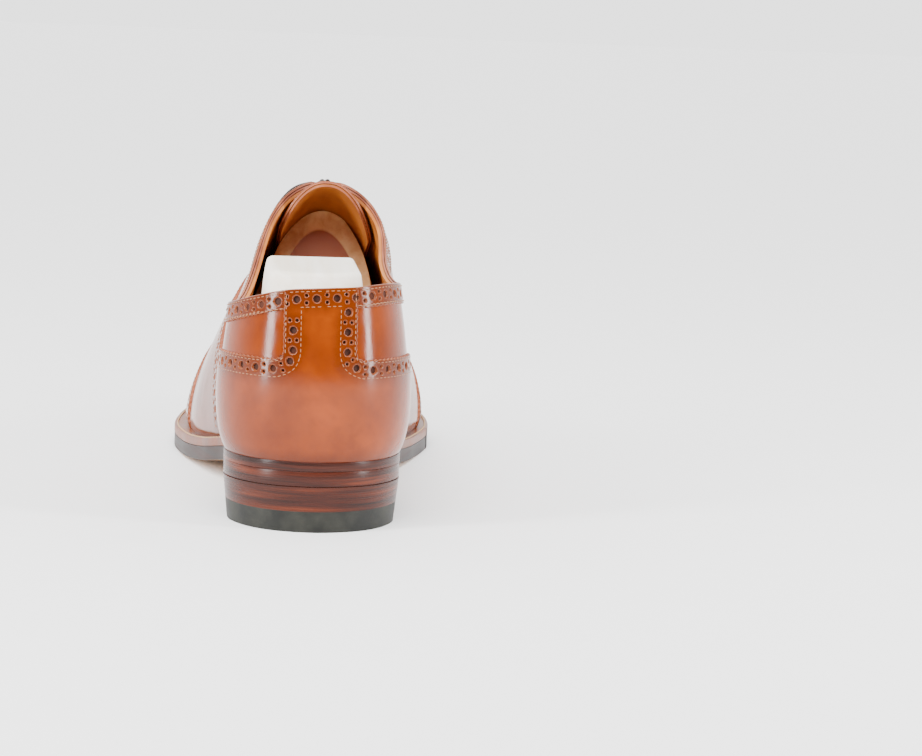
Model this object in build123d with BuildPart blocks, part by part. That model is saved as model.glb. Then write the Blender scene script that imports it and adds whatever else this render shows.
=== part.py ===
"""A left full-brogue oxford shoe on its two-piece wooden tree, in millimetres.

+Y points from heel to toe, +Z up, and the wearer's outer (lateral) side is -X. The origin is on the ground,
at the centre of the shoe's length and width. The upper is made of leather panels cut from one curved layer,
which is lofted through profiles that stand round the last like the ribs of a boat.
"""

import os
from dataclasses import astuple, dataclass
from math import cos, hypot, radians, sin

from build123d import *

LATERAL, MEDIAL = -1, 1
REACH = 90  # longer than any half width or height of the shoe

# Leather thicknesses, and how deep each layer of the upper lies under its outer surface.
UPPER = 1.4
STIFFENER_DEPTH = (1.45, 2.15)
PUFF_DEPTH = (1.6, 2.0)
LINING_DEPTH = (2.2, 3.2)
TONGUE_DEPTH = (4.3, 5.4)
TONGUE_LINING_DEPTH = (5.45, 6.15)
TREE_DEPTH = 6.9

# The bottom, measured up from the curve on which the upper sits.
WELT = 3.5
SOLE = 5.6
INSOLE = 3.0
SOCK = 0.8
INSOLE_INSET = 5.6
SHANK_DEPTH = (-2.5, -1.3)
SEAT_CURVE = [
    (-160, 25.8),
    (-112, 25.0),
    (-76, 22.6),
    (-44, 17.6),
    (-10, 11.9),
    (25, 9.35),
    (52, 9.3),
    (88, 11.2),
    (122, 15.6),
    (160, 23.5),
]

# The heel.
HEEL_CENTRE = (-5.0, -112.0)
HEEL_BREAST = -73.0
BREAST_HOLLOW = 4.0
HEEL_HEIGHT = 24.0
HEEL_FOOT, HEEL_TOP = -1.2, 1.4  # how far the heel stands out, at the ground and at its top
TOP_PIECE = 7.6
LIFT = 3.4
NAIL_RADIUS = 0.9

# The facings, over which the upper closes.
RIDGE_START = (1.5, -50.0)
RIDGE_SLOPE = 0.0227
THROAT = 10.0
SLIT = 5.0
EYELETS = 5
FIRST_EYELET = -19.0
EYELET_PITCH = 6.2
EYELET_INSET = 9.5
EYELET_RADIUS = 1.6
LACE = 2.0
BAR_LIFT = 1.45  # from the leather to the middle of a lace that crosses it
KNOT_SIZE = (9.0, 6.5, 3.4)
KNOT_SPOT = (2.2, -16.6, 114.3)
KNOT_NORMAL = (0, 0.48, 0.877)
AGLET_LENGTH = 18.0
AGLET_RADIUS = 1.25

# The bow's free laces, as points chosen along each from the knot outwards.
LOOP_LATERAL = [
    (-2.6, -18.5, 115.4),
    (-7.0, -20.5, 114.8),
    (-11.5, -21.0, 112.0),
    (-15.5, -18.5, 106.5),
    (-18.5, -13.5, 99.8),
    (-20.5, -7.0, 93.0),
    (-20.5, -1.0, 90.4),
    (-17.5, 1.5, 94.6),
    (-14.5, -2.5, 102.4),
    (-10.2, -9.0, 110.4),
    (-2.6, -14.7, 113.6),
]
LOOP_MEDIAL = [
    (7.0, -18.5, 115.4),
    (11.5, -21.5, 114.1),
    (18.0, -22.0, 108.2),
    (24.2, -18.0, 96.2),
    (27.5, -11.0, 84.8),
    (25.5, -4.5, 87.2),
    (20.0, -5.0, 98.6),
    (14.2, -9.9, 108.7),
    (9.6, -13.0, 113.7),
    (7.0, -14.7, 113.6),
]
END_LATERAL = [
    (0.7, -12.9, 113.6),
    (-0.5, -11.0, 113.7),
    (-3.5, -6.6, 111.0),
    (-7.5, -0.4, 105.4),
    (-13.5, 6.0, 94.6),
    (-20.0, 13.0, 82.4),
    (-25.5, 19.5, 72.6),
]
END_MEDIAL = [
    (3.7, -12.9, 113.6),
    (5.0, -11.0, 113.7),
    (8.0, -6.6, 111.0),
    (12.5, -0.4, 105.1),
    (18.5, 6.0, 93.8),
    (24.5, 13.0, 82.0),
    (29.5, 20.0, 72.0),
]

# The tree.
TREE_PIVOT = (-24.0, 44.0)
PIN_RADIUS = 2.0
PIN_LENGTH = 29.0
EYE = 7.0  # width and height of the tube's eye
EYE_ROOM = (14.0, 40.0, 27.0)  # the slot cut in the forepart for it
TUBE_RADIUS = 5.0
TUBE_WALL = 0.8
TUBE_LENGTH = 88.0
BORE_ROOM = 16.0  # the bore's depth behind the tube, which the spring fills
RUNNING = 0.05


@dataclass
class Rib:
    """One profile of the upper: a Bezier curve in an upright plane that points away from the last's middle.

    radii and heights are of the curve's four control points, and projection is how far the welt stands out.
    """

    x: float
    y: float
    heading: float  # degrees: -90 straight back, 0 out to the side, 90 forwards
    lateral: tuple
    medial: tuple
    heights: tuple
    projection: tuple  # lateral, medial


def ridge(y):
    """The x of the line along the top of the foot."""
    return RIDGE_START[0] + RIDGE_SLOPE * (y - RIDGE_START[1])


HEEL_HEIGHTS = (25, 44, 80, 128)
HEEL_X, HEEL_Y = HEEL_CENTRE
RIBS = [
    Rib(HEEL_X, HEEL_Y, -90, (34.0, 42.3, 35.5, 24), (34.0, 42.3, 35.5, 24), HEEL_HEIGHTS, (0.5, 0.5)),
    Rib(HEEL_X, HEEL_Y, -60, (33.6, 42.0, 34.6, 24), (33.6, 42.0, 34.6, 24), HEEL_HEIGHTS, (0.5, 0.5)),
    Rib(HEEL_X, HEEL_Y, -30, (32.4, 41.2, 32.2, 23), (32.4, 41.2, 32.2, 23), HEEL_HEIGHTS, (0.5, 0.5)),
    Rib(HEEL_X, HEEL_Y, 0, (31.3, 40.4, 30.0, 22), (31.3, 40.4, 30.0, 22), HEEL_HEIGHTS, (0.5, 0.5)),
    Rib(-2.0, -80, 0, (31.0, 39.5, 26.0, 12), (27.0, 38.0, 27.0, 12), (23.2, 42, 92, 132), (1.2, 0.8)),
    Rib(ridge(-50), -50, 0, (33.0, 41.5, 26.5, 5), (25.0, 37.5, 28.0, 5), (18.7, 40, 125, 125), (2.6, 1.2)),
    Rib(ridge(-20), -20, 0, (40.5, 46, 25, 1.5), (29.0, 40, 26, 1.5), (13.5, 38, 114, 114), (4.2, 2.6)),
    Rib(ridge(15), 15, 0, (48.5, 53.5, 25.0, 0), (37.0, 46.0, 25.0, 0), (10.0, 34, 93, 93), (5.2, 4.6)),
    Rib(ridge(45), 45, 0, (51.5, 55.0, 26.0, 0), (44.5, 51.0, 26.0, 0), (9.0, 30, 74, 74), (6.0, 4.8)),
    Rib(ridge(68), 68, 25, (49.0, 51.0, 26.0, 0), (47.5, 50.5, 27.0, 0), (10.0, 28, 61, 61), (5.8, 5.2)),
    Rib(ridge(88), 88, 52, (45.5, 47.0, 23.0, 0), (45.5, 47.0, 24.0, 0), (14.0, 29, 54, 54), (5.5, 5.5)),
    Rib(ridge(100), 100, 75, (42.3, 43.3, 21, 0), (42.3, 43.3, 21, 0), (18.3, 31, 50.5, 50.5), (5.6, 5.6)),
    Rib(ridge(104), 104, 90, (40.3, 41.0, 20.0, 0), (40.3, 41.0, 20.0, 0), (19.6, 32, 50, 50), (5.7, 5.7)),
]
RIB_FOOT = 3.0  # the ribs run this far below the seat curve, and are trimmed on it
RIB_STEPS = 2  # spans drawn between one tabled rib and the next

# Seams and edges, as side views (y, z) unless a name says otherwise.
BACK_TOPLINE = [(-170, 87.5), (-150, 87.4), (-146.5, 87.2)]
FRONT_TOPLINE = [(-36, 112.5), (-26, 118)]
LATERAL_SAG = [(-137, 83.5), (-106, 77.5), (-86, 79), (-66, 89), (-50, 102)]
MEDIAL_SAG = [(-137, 88), (-106, 86.5), (-86, 88.5), (-66, 95), (-50, 104.5)]
LATERAL_TOPLINE = BACK_TOPLINE + LATERAL_SAG + FRONT_TOPLINE
MEDIAL_TOPLINE = BACK_TOPLINE + MEDIAL_SAG + FRONT_TOPLINE
COUNTER_EDGE = [(-170, 62), (-140, 62), (-112, 61), (-80, 57), (-52, 50), (-20, 38), (10, 26)]
COUNTER_TAB = 13.0  # half the width of the counter's tab, which rises to the topline at the back
TAB_FILLET = 2.5
VAMP_EDGE = [(14, 118), (8, 84), (-6, 60), (-22, 38), (-40, 8)]
COLLAR = 7.5
FACING = 19.0
WING_PLAN = [(-64, 4), (-44, 34), (-24, 66), (-8, 80)]
WING_PEAK = 58.0
LINING_TOE = 98.0  # where the vamp's lining stops and the toe puff carries on alone
TONGUE_BACK = -42.0
TONGUE_FRONT = 24.0
TONGUE_HALF_WIDTH = 21.0

# The arch of the tree's forepart at the instep: half width and height up one side, then the crown.
TREE_ARCH = [(22.0, 24), (22.0, 62), (20.0, 79), (17.0, 89), (13.0, 96.5), (7.5, 103.2)]
TREE_CROWN = 107.0
TREE_ARCH_END = -14.0
TREE_FACE = ((-39.0, 28.0), (-14.0, 110.0))

# The forepart's sections in front of the ball: y, then the radii and heights of a rib's four control points.
TREE_TOE = [
    (80, (34.0, 38.0, 24.0, 0), (34.0, 38.0, 24.0, 0), (10, 26, 49, 49)),
    (108, (21.0, 25.0, 16.0, 0), (25.0, 28.0, 17.0, 0), (14, 27, 42, 42)),
    (130, (6.0, 8.0, 5.0, 0), (10.0, 12.0, 7.0, 0), (18, 28, 35, 35)),
]

# Level sections of the tree's heel block: height, half width, back, front.
BLOCK_SECTIONS = [
    (31.5, 16.0, -134.0, -95.0),
    (38.0, 18.8, -141.0, -91.5),
    (58.0, 19.2, -143.0, -90.5),
    (78.0, 17.9, -136.0, -89.5),
    (99.0, 13.9, -124.0, -88.0),
]
BLOCK_SHIFT = -1.0  # from the tube's line to the block's middle
BLOCK_TOP = ((-130.0, 90.6), (-86.0, 93.4))
BLOCK_FILLET = 3.0


# ---------------------------------------------------------------- the upper's surface


def ease(before, start, end, after, t):
    """A number between start and end that follows its neighbours smoothly and never overshoots."""
    steps = (start - before, end - start, after - end)
    slopes = [2 * a * b / (a + b) if a * b > 0 else 0 for a, b in zip(steps, steps[1:])]
    line = start + (end - start) * t
    bend = (slopes[0] - steps[1]) * (1 - t) - (slopes[1] - steps[1]) * t
    return line + bend * t * (1 - t)


def mix(before, start, end, after, t):
    """The same for the numbers of four ribs, which may be nested in tuples."""
    if isinstance(start, tuple):
        return tuple(mix(*values, t) for values in zip(before, start, end, after))
    return ease(before, start, end, after, t)


def fine_ribs():
    """The tabled ribs with others eased in between."""
    tables = [astuple(rib) for rib in RIBS]
    ribs = []
    for i in range(len(tables) - 1):
        around = (tables[max(i - 1, 0)], tables[i], tables[i + 1], tables[min(i + 2, len(tables) - 1)])
        ribs += [Rib(*mix(*around, step / RIB_STEPS)) for step in range(RIB_STEPS)]
    return ribs + [RIBS[-1]]


def heading_vector(rib, side):
    """The level direction in which a rib's plane points."""
    angle = radians(rib.heading)
    along = Vector(RIDGE_SLOPE, 1, 0).normalized() if rib.heading > 0 else Vector(0, 1, 0)
    across = Vector(along.Y * side, -along.X * side, 0)
    return across * cos(angle) + along * sin(angle)


def rib_plane(rib, side):
    """Local x runs outwards from the last's middle, and local y is height."""
    out = heading_vector(rib, side)
    return Plane(origin=(rib.x, rib.y, 0), x_dir=out, z_dir=out.cross(Vector(0, 0, 1)))


def rib_radii(rib, side):
    """A rib's four radii on one side."""
    return rib.lateral if side == LATERAL else rib.medial


def offset_polygon(points, depth):
    """A control polygon moved inwards by depth, each leg staying parallel to itself."""
    legs = [(b[0] - a[0], b[1] - a[1]) for a, b in zip(points, points[1:])]
    normals = [(-dz / hypot(dr, dz), dr / hypot(dr, dz)) for dr, dz in legs]
    moved = []
    for i, (r, z) in enumerate(points):
        before, after = normals[max(i - 1, 0)], normals[min(i, len(normals) - 1)]
        nr, nz = (before[0] + after[0]) / 2, (before[1] + after[1]) / 2
        square = nr * nr + nz * nz
        moved.append((r + nr * depth / square, z + nz * depth / square))
    return moved


def rib_curve(rib, side, depth):
    """The control points of a rib's profile at a depth under the outer surface."""
    points = list(zip(rib_radii(rib, side), rib.heights))
    (foot_r, foot_z), (next_r, next_z) = points[:2]
    points[0] = (foot_r - (next_r - foot_r) * RIB_FOOT / (next_z - foot_z), foot_z - RIB_FOOT)
    return offset_polygon(points, depth)


def half_layer(side, outer, inner, ribs):
    """One side of a layer of the upper, between two depths."""
    with BuildPart() as half:
        for rib in ribs:
            outside, inside = rib_curve(rib, side, outer), rib_curve(rib, side, inner)
            with BuildSketch(rib_plane(rib, side)):
                with BuildLine():
                    Bezier(*outside)
                    Line(outside[-1], inside[-1])
                    Bezier(*reversed(inside))
                    Line(inside[0], outside[0])
                make_face()
        loft(ruled=True)
    return half.part


def full_section(x, y, lateral, medial):
    """An upright section across the shoe, between two curves that meet on the ridge."""
    left = [(-r, z) for r, z in lateral[:-1]] + [(0, lateral[-1][1])]
    right = [(0, medial[-1][1])] + [(r, z) for r, z in reversed(medial[:-1])]
    with BuildSketch(Plane(origin=(x, y, 0), x_dir=(1, 0, 0), z_dir=(0, -1, 0))) as section:
        with BuildLine():
            Bezier(*left)
            Bezier(*right)
            Line(right[-1], left[0])
        make_face()
    return section.sketch


def instep_core(depth, toe=()):
    """The solid inside the upper at a depth, from the instep to the ball, and on through any toe sections."""
    sections = []
    for rib in RIBS[5:9]:
        curves = [rib_curve(rib, side, depth) for side in (LATERAL, MEDIAL)]
        sections.append(full_section(rib.x, rib.y, *curves))
    for y, lateral, medial, heights in toe:
        sections.append(full_section(ridge(y), y, list(zip(lateral, heights)), list(zip(medial, heights))))
    with BuildPart() as core:
        loft(sections)
    return core.part


def layer(depths):
    """A whole layer of the upper, trimmed at the seat and at the topline."""
    with BuildPart() as whole:
        for side in (LATERAL, MEDIAL):
            add(half_layer(side, *depths, fine_ribs()))
        add(band(0, 2 * REACH), mode=Mode.INTERSECT)
        for side, edge in ((LATERAL, LATERAL_TOPLINE), (MEDIAL, MEDIAL_TOPLINE)):
            add(above_edge(side, edge), mode=Mode.SUBTRACT)
    return whole.part


# ---------------------------------------------------------------- regions that cut the pieces out


def band(low, high):
    """A slab between two heights above the seat curve."""
    with BuildPart() as slab:
        with BuildSketch(Plane.YZ):
            with BuildLine():
                top = Spline(*[(y, z + high) for y, z in SEAT_CURVE])
                bottom = Spline(*[(y, z + low) for y, z in SEAT_CURVE])
                Line(top @ 0, bottom @ 0)
                Line(top @ 1, bottom @ 1)
            make_face()
        extrude(amount=REACH, both=True)
    return slab.part


def above_edge(side, edge):
    """Everything above a side-view edge, on one side of the last's middle."""
    with BuildPart() as region:
        with BuildSketch(Plane.YZ.offset(side * -20)):
            with BuildLine():
                line = Spline(*edge)
                end = line @ 1
                Polyline(line @ 0, (edge[0][0], 2 * REACH), (end.X, 2 * REACH), end)
            make_face()
        extrude(amount=side * (REACH + 20))
        add(side_region(side), mode=Mode.INTERSECT)
    return region.part


def side_region(side):
    """One side of the upright surface that runs through the heel's centre and along the ridge."""
    with BuildPart() as region:
        with BuildSketch(Plane.XY.offset(-REACH)):
            with BuildLine():
                Polyline(
                    (HEEL_X, -2 * REACH),
                    (HEEL_X, HEEL_Y),
                    (ridge(-50), -50),
                    (ridge(2 * REACH), 2 * REACH),
                    (side * REACH, 2 * REACH),
                    (side * REACH, -2 * REACH),
                    close=True,
                )
            make_face()
        extrude(amount=4 * REACH)
    return region.part


def side_view_region(edge, corners):
    """An outline of a spline edge closed by corners, in the side view, cut right through the shoe."""
    with BuildPart() as region:
        with BuildSketch(Plane.YZ):
            with BuildLine():
                line = Spline(*edge)
                Polyline(line @ 1, *corners, line @ 0)
            make_face()
        extrude(amount=REACH, both=True)
    return region.part


def vamp_and_front():
    """Everything in front of the vamp's rear edge."""
    return side_view_region(VAMP_EDGE, [(2 * REACH, 8), (2 * REACH, 118)])


def wing_region():
    """Everything in front of the wing cap's edge, which comes to a peak on the ridge."""
    mirrored = [(2 * ridge(y) - x, y + 4) for x, y in reversed(WING_PLAN)]
    with BuildPart() as region:
        with BuildSketch():
            with BuildLine():
                left = Spline(*WING_PLAN, (ridge(WING_PEAK), WING_PEAK))
                right = Spline((ridge(WING_PEAK), WING_PEAK), *mirrored)
                Polyline(right @ 1, (REACH, 2 * REACH), (-REACH, 2 * REACH), left @ 0)
            make_face()
        extrude(amount=2 * REACH)
    return region.part


def counter_region():
    """The outer counter: a low wing round the heel, with a tab that rises to the topline at the back."""
    low, high = COUNTER_EDGE[0][1], 2 * REACH
    corners = [HEEL_X - COUNTER_TAB, HEEL_X + COUNTER_TAB]
    with BuildPart() as region:
        add(side_view_region(COUNTER_EDGE, [(10, -10), (-170, -10)]))
        with BuildSketch(Plane.XZ.offset(130)) as tab:
            with Locations((HEEL_X, (low + high) / 2)):
                Rectangle(2 * COUNTER_TAB, high - low)
            with Locations((HEEL_X, low - TAB_FILLET / 2)):
                Rectangle(2 * (COUNTER_TAB + 4 * TAB_FILLET), TAB_FILLET)
            foot = tab.vertices().filter_by_position(Axis.Z, low - 0.01, low + 0.01)
            fillet([v for v in foot if min(abs(v.X - x) for x in corners) < 0.01], TAB_FILLET)
        extrude(amount=60)
    return region.part


def collar_region():
    """A strip of even height under the topline, from the counter's tab to the facing."""
    with BuildPart() as region:
        for side, edge in ((LATERAL, LATERAL_TOPLINE), (MEDIAL, MEDIAL_TOPLINE)):
            lower = []
            for y, z in edge:
                # Where the topline climbs, the strip moves forwards too.
                steep = max(0, min(1, (y + 92) / 40))
                lower.append((y + 0.8 * COLLAR * steep, z - COLLAR))
            add(above_edge(side, lower))
    return region.part


def facing_region():
    """The strip on each side of the slit that carries the eyelets."""
    start, end = -60, 30
    with BuildPart() as region:
        with BuildSketch():
            with BuildLine():
                Polyline(
                    (ridge(start) - FACING, start),
                    (ridge(end) - FACING, end),
                    (ridge(end) + FACING, end),
                    (ridge(start) + FACING, start),
                    close=True,
                )
            make_face()
        extrude(amount=2 * REACH)
    return region.part


def slit_region(width, back, front):
    """A straight upright slot along the ridge."""
    with BuildPart() as region:
        with BuildSketch():
            with BuildLine():
                Polyline(
                    (ridge(back) - width / 2, back),
                    (ridge(front) - width / 2, front),
                    (ridge(front) + width / 2, front),
                    (ridge(back) + width / 2, back),
                    close=True,
                )
            make_face()
        extrude(amount=2 * REACH)
    return region.part


# ---------------------------------------------------------------- plan outlines of the bottom


def outline_points(side, projection):
    """Where the ribs meet the seat, moved out by projection: a number, or a function of rib and side."""
    points = []
    for rib in fine_ribs():
        out = projection(rib, side) if callable(projection) else projection
        spot = Vector(rib.x, rib.y, 0) + heading_vector(rib, side) * (rib_radii(rib, side)[0] + out)
        points.append((spot.X, spot.Y))
    return points


def outline(projection, height=2 * REACH):
    """An upright prism whose plan is the shoe's, moved out by projection."""
    lateral, medial = outline_points(LATERAL, projection), outline_points(MEDIAL, projection)
    with BuildPart() as prism:
        with BuildSketch(Plane.XY.offset(-20)):
            with BuildLine():
                Spline(*lateral, *reversed(medial[1:-1]), periodic=True)
            make_face()
        extrude(amount=height)
    return prism.part


def welt_projection(rib, side):
    """How far the welt stands out at a rib."""
    return rib.projection[0] if side == LATERAL else rib.projection[1]


def behind_breast():
    """Everything behind the heel's breast line, a shallow hollow arc."""
    ends = HEEL_BREAST + 14
    with BuildPart() as region:
        with BuildSketch():
            with BuildLine():
                breast = ThreePointArc((-REACH, ends), (HEEL_X, HEEL_BREAST - BREAST_HOLLOW), (REACH, ends))
                Polyline(breast @ 1, (REACH, -2 * REACH), (-REACH, -2 * REACH), breast @ 0)
            make_face()
        extrude(amount=2 * REACH)
    return region.part


def piece(name, shape):
    """Labels a finished piece and writes its STEP file."""
    shape.label = name
    export_step(shape, f"parts/{name}.step")
    print(name, "solids", len(shape.solids()), "valid", shape.is_valid, "volume", round(shape.volume))


# ---------------------------------------------------------------- the bottom


def make_bottom():
    welt_inside = 7.0
    with BuildPart() as outsole:
        add(outline(welt_projection))
        add(band(-WELT - SOLE, -WELT), mode=Mode.INTERSECT)
    piece("outsole", outsole.part)

    with BuildPart() as ring:
        add(outline(welt_projection))
        add(outline(-welt_inside), mode=Mode.SUBTRACT)
        add(band(-WELT, 0), mode=Mode.INTERSECT)
    with BuildPart() as welt:
        add(ring.part)
        add(behind_breast(), mode=Mode.SUBTRACT)
    piece("welt", welt.part)
    with BuildPart() as rand:
        add(ring.part)
        add(behind_breast(), mode=Mode.INTERSECT)
    piece("heel_rand", rand.part)

    with BuildPart() as shank:
        with Locations((-2, -58, 20)):
            Box(14, 84, 60)
        add(band(*SHANK_DEPTH), mode=Mode.INTERSECT)
    piece("steel_shank", shank.part)
    with BuildPart() as filler:
        add(outline(-welt_inside - 0.1))
        add(band(-WELT, -0.02), mode=Mode.INTERSECT)
        add(shank.part, mode=Mode.SUBTRACT)
    piece("cork_filler", filler.part)
    with BuildPart() as insole:
        add(outline(-INSOLE_INSET))
        add(band(0, INSOLE), mode=Mode.INTERSECT)
    piece("insole", insole.part)
    with BuildPart() as sock:
        add(outline(-INSOLE_INSET - 0.4))
        add(band(INSOLE, INSOLE + SOCK), mode=Mode.INTERSECT)
    piece("sock_liner", sock.part)


def heel_slice(low, high):
    """A slice of the heel, whose sides close in towards the ground."""
    with BuildPart() as block:
        for height in (0, HEEL_HEIGHT):
            out = HEEL_FOOT + (HEEL_TOP - HEEL_FOOT) * height / HEEL_HEIGHT
            back, forth = (outline_points(side, out)[: 5 * RIB_STEPS + 1] for side in (LATERAL, MEDIAL))
            with BuildSketch(Plane.XY.offset(height)):
                with BuildLine():
                    Spline(*reversed(back), *forth[1:])
                    Line(forth[-1], back[-1])
                make_face()
        loft()
        add(behind_breast(), mode=Mode.INTERSECT)
        with Locations((0, -REACH, (low + high) / 2)):
            Box(2 * REACH, 2 * REACH, high - low, mode=Mode.INTERSECT)
    return block.part


def nail_spots():
    """The heel nails, in two rows round the back of the leather-and-rubber top piece."""
    spots = [(HEEL_X + 22 * sin(radians(a)), HEEL_Y - 22 * cos(radians(a))) for a in range(-108, 109, 36)]
    return spots + [(HEEL_X - 12, -84), (HEEL_X + 12, -84)]


def make_heel():
    heights = [0, TOP_PIECE, TOP_PIECE + LIFT, TOP_PIECE + 2 * LIFT, HEEL_HEIGHT]
    nail_top = TOP_PIECE + LIFT - 0.5
    with BuildPart() as nails:
        with BuildSketch(Plane.XY.offset(0.1)):
            with Locations(*nail_spots()):
                Circle(NAIL_RADIUS)
        extrude(amount=nail_top - 0.1)
    piece("heel_nails", nails.part)

    with BuildPart() as rubber_side:
        with BuildSketch(Plane.XY.offset(-1)):
            with BuildLine():
                Polyline((-80, -66), (-26, -66), (40, -124), (80, -124), (80, -200), (-80, -200), close=True)
            make_face()
        extrude(amount=40)

    names = ["heel_top_piece", "heel_lift_lower", "heel_lift_middle", "heel_lift_upper"]
    for name, low, high in zip(names, heights, heights[1:]):
        with BuildPart() as lift:
            add(heel_slice(low, high))
            add(band(-40, -WELT - SOLE), mode=Mode.INTERSECT)
            if low < nail_top:
                add(nails.part, mode=Mode.SUBTRACT)
                with Locations(*[(x, y, 0) for x, y in nail_spots()]):
                    Cylinder(NAIL_RADIUS, 0.4, mode=Mode.SUBTRACT)
        if low > 0:
            piece(name, lift.part)
            continue
        with BuildPart() as rubber:
            add(lift.part)
            add(rubber_side.part, mode=Mode.INTERSECT)
        piece("heel_top_piece_rubber", rubber.part)
        with BuildPart() as leather:
            add(lift.part)
            add(rubber_side.part, mode=Mode.SUBTRACT)
        piece("heel_top_piece_leather", leather.part)


# ---------------------------------------------------------------- the upper


def eyelet_rows():
    """The y of each pair of eyelets, from the top of the facings down to the throat."""
    return [FIRST_EYELET + EYELET_PITCH * row for row in range(EYELETS)]


def eyelet_spots():
    """The plan position of each eyelet, in pairs across the slit."""
    out = SLIT / 2 + EYELET_INSET
    return [(ridge(y) + side * out, y) for y in eyelet_rows() for side in (LATERAL, MEDIAL)]


def surface_frame(skin, x, y):
    """The plane that lies on the outside of a skin above the point (x, y), facing outwards."""

    def height(px, py):
        return (Edge.make_line((px, py, 60), (px, py, 160)) & skin).vertices().sort_by(Axis.Z)[-1].Z

    step = 0.8
    slope_x = (height(x + step, y) - height(x - step, y)) / (2 * step)
    slope_y = (height(x, y + step) - height(x, y - step)) / (2 * step)
    return Plane(origin=(x, y, height(x, y)), z_dir=(-slope_x, -slope_y, 1))


def make_upper(skin, frames):
    """The leather panels, cut from one skin along their seams."""
    with BuildPart() as holes:
        for frame in frames:
            with BuildSketch(frame.offset(-LINING_DEPTH[1] - 1.5)):
                Circle(EYELET_RADIUS)
            extrude(amount=LINING_DEPTH[1] + 4)

    slit = slit_region(SLIT, -70, THROAT)
    front, wing, counter_cut = vamp_and_front(), wing_region(), counter_region()
    collar_cut, facing_cut = collar_region(), facing_region()

    with BuildPart() as toe_cap:
        add(skin)
        add(front, mode=Mode.INTERSECT)
        add(wing, mode=Mode.INTERSECT)
    piece("wing_toe_cap", toe_cap.part)
    with BuildPart() as vamp:
        add(skin)
        add(front, mode=Mode.INTERSECT)
        add(wing, mode=Mode.SUBTRACT)
        add(slit, mode=Mode.SUBTRACT)
    piece("vamp", vamp.part)
    with BuildPart() as rear:
        add(skin)
        add(front, mode=Mode.SUBTRACT)
        add(slit, mode=Mode.SUBTRACT)
    with BuildPart() as counter:
        add(rear.part)
        add(counter_cut, mode=Mode.INTERSECT)
    piece("heel_counter", counter.part)
    with BuildPart() as quarters:
        add(rear.part)
        add(counter_cut, mode=Mode.SUBTRACT)

    for side, word in ((LATERAL, "lateral"), (MEDIAL, "medial")):
        half = side_region(side)
        with BuildPart() as collar:
            add(quarters.part)
            add(half, mode=Mode.INTERSECT)
            add(collar_cut, mode=Mode.INTERSECT)
            add(facing_cut, mode=Mode.SUBTRACT)
        piece(f"collar_strip_{word}", collar.part)
        with BuildPart() as facing:
            add(quarters.part)
            add(half, mode=Mode.INTERSECT)
            add(facing_cut, mode=Mode.INTERSECT)
            add(holes.part, mode=Mode.SUBTRACT)
        piece(f"eyelet_facing_{word}", facing.part)
        with BuildPart() as quarter:
            add(quarters.part)
            add(half, mode=Mode.INTERSECT)
            add(collar_cut, mode=Mode.SUBTRACT)
            add(facing_cut, mode=Mode.SUBTRACT)
        piece(f"quarter_{word}", quarter.part)
    make_lining(front, slit, holes.part)


def make_lining(front, slit, holes):
    lining = layer(LINING_DEPTH)
    with BuildPart() as vamp_lining:
        add(lining)
        add(front, mode=Mode.INTERSECT)
        add(slit, mode=Mode.SUBTRACT)
        with Locations((0, LINING_TOE - REACH, REACH)):
            Box(4 * REACH, 2 * REACH, 2 * REACH, mode=Mode.INTERSECT)
    piece("vamp_lining", vamp_lining.part)
    for side, word in ((LATERAL, "lateral"), (MEDIAL, "medial")):
        with BuildPart() as quarter_lining:
            add(lining)
            add(front, mode=Mode.SUBTRACT)
            add(side_region(side), mode=Mode.INTERSECT)
            add(slit, mode=Mode.SUBTRACT)
            add(holes, mode=Mode.SUBTRACT)
        piece(f"quarter_lining_{word}", quarter_lining.part)

    stiffening = layer(STIFFENER_DEPTH)
    with BuildPart() as stiffener:
        add(stiffening)
        with Locations((0, -120, 42)):
            Box(2 * REACH, 92, 46, mode=Mode.INTERSECT)
    piece("heel_stiffener", stiffener.part)
    with BuildPart() as puff:
        for side in (LATERAL, MEDIAL):
            add(half_layer(side, *PUFF_DEPTH, fine_ribs()[9 * RIB_STEPS:]))
        add(band(0, REACH), mode=Mode.INTERSECT)
    piece("toe_puff", puff.part)


def make_tongue():
    for name, depths, inset in (("tongue", TONGUE_DEPTH, 0), ("tongue_lining", TONGUE_LINING_DEPTH, 1.0)):
        back, half_width = TONGUE_BACK + inset, TONGUE_HALF_WIDTH - inset
        with BuildPart() as tongue:
            with BuildSketch(Plane.XY.offset(60)) as plan:
                with Locations((ridge(-10), (back + TONGUE_FRONT) / 2)):
                    Rectangle(2 * half_width, TONGUE_FRONT - back)
                fillet(plan.vertices().group_by(Axis.Y)[0], 9)
            extrude(amount=REACH)
            add(instep_core(depths[0]), mode=Mode.INTERSECT)
            add(instep_core(depths[1]), mode=Mode.SUBTRACT)
        piece(name, tongue.part)


# ---------------------------------------------------------------- the tree


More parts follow.
